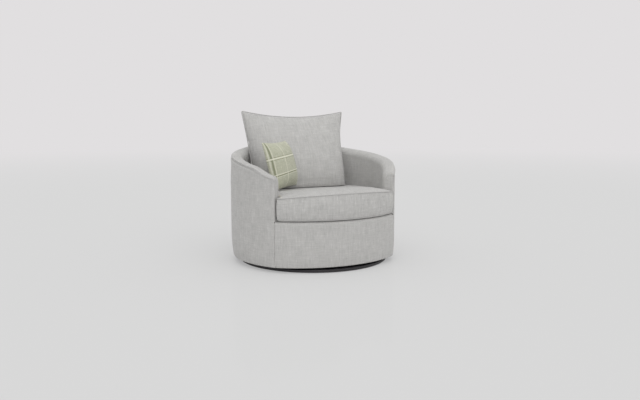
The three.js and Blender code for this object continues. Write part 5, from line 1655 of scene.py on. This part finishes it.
# The back cushion's fullness from its foot to its top: heights, and shares of the depth in front and behind
BACK_ROWS = (0, 0.006, 0.04, 0.1, 0.19, 0.31, 0.43, 0.55, 0.67, 0.79, 0.89, 0.96, 1)
BACK_FRONT = (0, 0.80, 0.90, 1.01, 1.07, 1.07, 1.0, 0.9, 0.77, 0.59, 0.39, 0.2, 0)
BACK_REAR = (0, 0.5, 0.75, 0.95, 1, 1, 0.95, 0.85, 0.7, 0.5, 0.32, 0.16, 0)


class Back:
    """Seam line and fullness of the back cushion."""

    def __init__(self, s, wall_radius, wall_top):
        self.s, self.wall_radius, self.wall_top = s, wall_radius, wall_top
        self.front_curve = even_curve(BACK_ROWS, BACK_FRONT)
        self.rear_curve = even_curve(BACK_ROWS, BACK_REAR)

    def seam(self, u, v):
        s = self.s
        half = s.half_bottom + (s.half_top - s.half_bottom) * v - s.side_draw * (1 - (2 * v - 1) ** 2)
        height = (s.height - s.top_dip * (1 - u * u)) * v
        up = height / s.height
        return np.array([u * half, s.near + s.slope * up - s.bow * up**2, s.rest + height])

    def ahead(self, z, face=0):
        """The way the front faces. Its foot sags down onto the seat."""
        s = self.s
        up = (z - s.rest) / s.height
        sag = 1 - s.sag * (1 - float(smooth(up, 0.0, 0.30))) if face > 0 else 1.0
        way = np.array([0, -1, (s.slope - 2 * s.bow * up) / s.height * sag])
        return way / np.linalg.norm(way)

    def place(self, u, v, face, slim=0.0):
        s = self.s
        point = self.seam(u, v)
        if face:
            power = 8 - 5 * v if face > 0 else 2.2
            across = max(1 - abs(u) ** power, 0) ** (0.45 if face > 0 else 0.9)
            curve = self.front_curve if face > 0 else self.rear_curve
            depth = (s.front if face > 0 else s.rear_depth) * float(np.interp(v, *curve)) * across
            point = point + self.ahead(point[2], face) * face * max(depth - slim, depth * 0.8)
        return self.kept_clear(point[None])[0]

    def kept_clear(self, points):
        """Stands the cushion on the seat and keeps it inside the barrel's wall."""
        points = points.copy()
        points[:, 2] = np.maximum(points[:, 2], self.s.rest)
        reach = np.hypot(points[:, 0], points[:, 1])
        most = self.wall_radius - 0.002
        inside = 1 - smooth(points[:, 2], self.wall_top, self.wall_top + 0.02)
        pull = np.where(reach > most, (most / reach - 1) * inside, 0)
        points[:, :2] *= (1 + pull)[:, None]
        return points


def slim_places(us, vs, place, flat):
    """Where a pillow's points stand before it is filled."""
    form, _ = pillow("slim_form", us, vs, place, flat)
    points = points_of(form)
    bpy.data.objects.remove(form)
    return points


def even_curve(places, values):
    """A rounded curve through given shares."""
    fine = np.linspace(0, 1, 401)
    fine = np.unique(np.concatenate([fine, np.linspace(0, 0.04, 41)]))
    straight = np.interp(fine, places, values)
    rounded = straight.copy()
    for _ in range(60):
        middle = (rounded[:-2] + rounded[2:]) / 2
        rounded[1:-1] = np.where(fine[1:-1] > 0.05, middle, rounded[1:-1])
    return fine, rounded


class CHAIR_OT_back_cushion(bpy.types.Operator):
    """Sews and fills the loose back cushion, with its piping and zip"""

    bl_idname = "chair.back_cushion"
    bl_label = "Back cushion"

    def execute(self, context):
        barrel = Barrel(context.scene.chair_barrel)
        s = context.scene.chair_back
        back = Back(s, barrel.inner, barrel.s.rim + barrel.s.rise)
        us = np.sin(np.linspace(-1, 1, 79) * math.pi / 2 * 0.92) / math.sin(math.pi / 2 * 0.92)
        vs = np.concatenate([np.linspace(0, 0.006, 9), [0.011, 0.018, 0.028], np.linspace(0.042, 0.955, 46),
                             [0.972, 0.987, 1.0]])
        cloth_run = np.concatenate([np.linspace(-0.115, 0, 9), vs[9:] * s.height])
        run_at = lambda v: float(np.interp(v, vs, cloth_run))

        def flat(u, v, face):
            point = back.seam(u, v)
            return (point[0] * face, run_at(v))

        made, seam = pillow("back_cushion_cloth", us, vs, back.place, flat)
        pinned = np.zeros(len(made.data.vertices))
        pinned[seam] = 1.0
        slim = slim_places(us, vs, lambda u, v, face: back.place(u, v, face, 0.006), flat)
        puff(made, pinned, 4.0, 0.02, 0.014, slim)
        refined(made)
        move_points(made, back.kept_clear(points_of(made)))
        dress(made, "back_cushion", "grey_upholstery", "back_cushion_cover", fill=0.7)
        low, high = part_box("back_cushion_zip")
        start = (0.0, (low.y + high.y) / 2, s.rest - 0.05)
        tape, teeth, stitches, _ = zip_strip("back_zip", made, high.x, high.y - low.y, (0, 0, 1), (0, 1, 0), start)
        dress(tape, "back_cushion", "zip_nylon", "back_cushion_zip")
        dress(teeth, "back_cushion", "zip_nylon")
        dress(stitches, "back_cushion", "grey_upholstery")
        dress(self.piping(back, s), "back_cushion", "grey_upholstery", "back_cushion_piping")
        return {"FINISHED"}

    def piping(self, back, s):
        """Up one side, along the top and down the other side, just outside the seam, with rounded corners."""
        away = s.pipe + s.gap
        rows = np.linspace(0.06, 1, 60)
        across = np.linspace(-1, 1, 70)[1:-1]
        path = [back.seam(-1, v) for v in rows] + [back.seam(u, 1) for u in across]
        path += [back.seam(1, v) for v in rows[::-1]]
        path = np.array(path)
        way = np.gradient(path, axis=0)
        outs = []
        for point, step in zip(path, way):
            out = np.cross(back.ahead(point[2]), step)
            outs.append(out / np.linalg.norm(out))
        line = path + np.array(outs) * away
        line = rounded_line(line, 0.003)
        return tube("back_cushion_piping_cord", line, s.pipe, 12, False)


class CHAIR_OT_scatter_cushion(bpy.types.Operator):
    """Sews and fills the small checked cushion that stands in the corner of the seat"""

    bl_idname = "chair.scatter_cushion"
    bl_label = "Scatter cushion"

    def execute(self, context):
        s = context.scene.chair_scatter
        low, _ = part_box("scatter_cushion_cover")
        turned = Matrix.Rotation(s.yaw, 3, "Z") @ Matrix.Rotation(-s.lean, 3, "X") @ Matrix.Rotation(-s.roll, 3, "Y")
        turned = np.array(turned)
        half = s.size / 2

        def place(u, v, face, slim=0.0):
            x = u * (half - s.draw * (1 - v * v))
            z = v * (half - s.draw * (1 - u * u))
            full = s.front if face > 0 else s.rear
            across = max((1 - abs(u) ** 3) * (1 - abs(v) ** 3), 0)
            depth = full * across**0.55 if face else 0.0
            left, right = (1 - u) * (1 + v) / 4, (1 + u) * (1 + v) / 4
            return turned @ np.array([
                x + s.lop * left, -face * max(depth - slim, depth * 0.8), z + s.lop * (left - right)
            ])

        def flat(u, v, face):
            return (u * half, v * half)

        grid = np.sin(np.linspace(-1, 1, 45) * math.pi / 2 * 0.9) / math.sin(math.pi / 2 * 0.9)
        made, seam = pillow("scatter_cushion_cloth", grid, grid, place, flat)
        points = points_of(made)
        shift = np.array([s.x, s.y, 0.0])
        shift[2] = low.z - points[:, 2].min()
        move_points(made, points + shift)
        pinned = np.zeros(len(points))
        pinned[seam] = 1.0
        slim = slim_places(grid, grid, lambda u, v, face: place(u, v, face, 0.004), flat)
        puff(made, pinned, 4.0, 0.02, 0.010, slim + shift)
        refined(made)
        dress(made, "scatter_cushion", "checked_cloth", "scatter_cushion_cover", fill=0.8)
        return {"FINISHED"}


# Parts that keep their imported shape


class CHAIR_OT_inner_parts(bpy.types.Operator):
    """Gives the frame, springs, padding and bearing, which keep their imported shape, their real materials"""

    bl_idname = "chair.inner_parts"
    bl_label = "Frame, springs, padding and bearing"

    def execute(self, context):
        for part in frame["record"]["subparts"]:
            node = frame["nodes"][part["node"]]
            node.data.materials.clear()
            node.data.materials.append(material(part["material_slot"]))
        return {"FINISHED"}


# Stage


class CHAIR_OT_stage(bpy.types.Operator):
    """Sets the pale floor, the soft light and the camera"""

    bl_idname = "chair.stage"
    bl_label = "Stage"

    def execute(self, context):
        s = context.scene.chair_stage
        scene = context.scene
        scene.view_settings.view_transform = "Standard"
        self.floor(s)
        self.world(scene, s)
        self.sun("key_light", s.key, s.key_turn, s.key_height, s.softness, (1.0, 0.995, 0.985))
        self.sun("top_light", s.top, math.radians(-30), math.radians(78), math.radians(80), (1.0, 1.0, 1.0))
        camera = bpy.data.cameras.new("camera")
        camera.lens = s.lens
        camera.sensor_width = 36.0
        holder = placed("camera", camera)
        holder.location = s.camera
        holder.rotation_mode = "QUATERNION"
        holder.rotation_quaternion = Vector(s.forward).to_track_quat("-Z", "Y")
        scene.camera = holder
        return {"FINISHED"}

    def floor(self, s):
        mesh = bpy.data.meshes.new("studio_floor")
        work = bmesh.new()
        bmesh.ops.create_circle(work, cap_ends=True, segments=96, radius=s.floor_radius)
        work.to_mesh(mesh)
        work.free()
        made = placed("studio_floor", mesh)
        mesh.materials.append(self.floor_material(s))

    def floor_material(self, s):
        shade = Shade("studio_floor")
        where = shade.object_place()
        far = shade.node("ShaderNodeVectorMath", {"operation": "LENGTH"}, {0: where}, output="Value")
        fade = shade.ramp(far, s.fade_start, s.fade_end)
        matt = shade.node("ShaderNodeBsdfDiffuse", None, {"Color": s.floor})
        gloss = shade.node("ShaderNodeBsdfGlossy", None, {"Color": (0.9, 0.9, 0.9), "Roughness": 0.12})
        near = shade.node("ShaderNodeMixShader", None, {0: 0.055, 1: matt, 2: gloss})
        glow = shade.node("ShaderNodeEmission", None, {"Color": s.backdrop, "Strength": 1.0})
        seen = shade.node("ShaderNodeLightPath", output="Is Camera Ray")
        steady = shade.node("ShaderNodeEmission", None, {"Color": s.floor, "Strength": 1.0})
        lit = shade.node("ShaderNodeMixShader", None, {0: seen * s.even, 1: near, 2: steady})
        result = shade.node("ShaderNodeMixShader", None, {0: fade * seen, 1: lit, 2: glow})
        output = shade.tree.nodes["Material Output"]
        shade.feed(output.inputs["Surface"], result)
        shade.tree.nodes.remove(shade.surface)
        return shade.material

    def world(self, scene, s):
        world = bpy.data.worlds.new("studio")
        scene.world = world
        world.use_nodes = True
        tree = world.node_tree
        light = tree.nodes["Background"]
        light.inputs["Color"].default_value = (1.0, 1.0, 1.0, 1.0)
        light.inputs["Strength"].default_value = s.ambient
        seen = tree.nodes.new("ShaderNodeBackground")
        seen.inputs["Color"].default_value = (*s.backdrop, 1.0)
        path = tree.nodes.new("ShaderNodeLightPath")
        mixed = tree.nodes.new("ShaderNodeMixShader")
        last = path.outputs["Is Camera Ray"]
        for kind in ("Is Glossy Ray", "Is Transmission Ray"):
            either = tree.nodes.new("ShaderNodeMath")
            either.operation = "MAXIMUM"
            tree.links.new(last, either.inputs[0])
            tree.links.new(path.outputs[kind], either.inputs[1])
            last = either.outputs[0]
        tree.links.new(last, mixed.inputs[0])
        tree.links.new(light.outputs[0], mixed.inputs[1])
        tree.links.new(seen.outputs[0], mixed.inputs[2])
        tree.links.new(mixed.outputs[0], tree.nodes["World Output"].inputs["Surface"])

    def sun(self, name, strength, azimuth, height, softness, tint):
        lamp = bpy.data.lights.new(name, "SUN")
        lamp.energy, lamp.angle, lamp.color = strength, softness, tint
        holder = placed(name, lamp)
        towards = Vector((
            math.sin(azimuth) * math.cos(height), -math.cos(azimuth) * math.cos(height), math.sin(height)
        ))
        holder.rotation_mode = "QUATERNION"
        holder.rotation_quaternion = towards.to_track_quat("Z", "Y")


class CHAIR_PT_build(bpy.types.Panel):
    """Lists the chair's pieces, to build them one by one"""

    bl_idname = "CHAIR_PT_build"
    bl_label = "Cuddle chair"
    bl_space_type = "VIEW_3D"
    bl_region_type = "UI"
    bl_category = "Cuddle chair"

    def draw(self, context):
        for operator in OPERATORS:
            self.layout.operator(operator.bl_idname)


OPERATORS = (
    CHAIR_OT_stage,
    CHAIR_OT_inner_parts,
    CHAIR_OT_base,
    CHAIR_OT_barrel_covers,
    CHAIR_OT_deck,
    CHAIR_OT_seat_cushion,
    CHAIR_OT_back_cushion,
    CHAIR_OT_scatter_cushion,
)
CLASSES = (*GROUPS.values(), *OPERATORS, CHAIR_PT_build)


def register():
    for cls in CLASSES:
        bpy.utils.register_class(cls)
    for name, group in GROUPS.items():
        setattr(bpy.types.Scene, f"chair_{name}", PointerProperty(type=group))


def unregister():
    for name in GROUPS:
        delattr(bpy.types.Scene, f"chair_{name}")
    for cls in reversed(CLASSES):
        bpy.utils.unregister_class(cls)


def main():
    register()
    make_materials(bpy.context.scene.chair_finish)
    for operator in OPERATORS:
        space, name = operator.bl_idname.split(".")
        getattr(getattr(bpy.ops, space), name)()


if __name__ == "__main__":
    main()
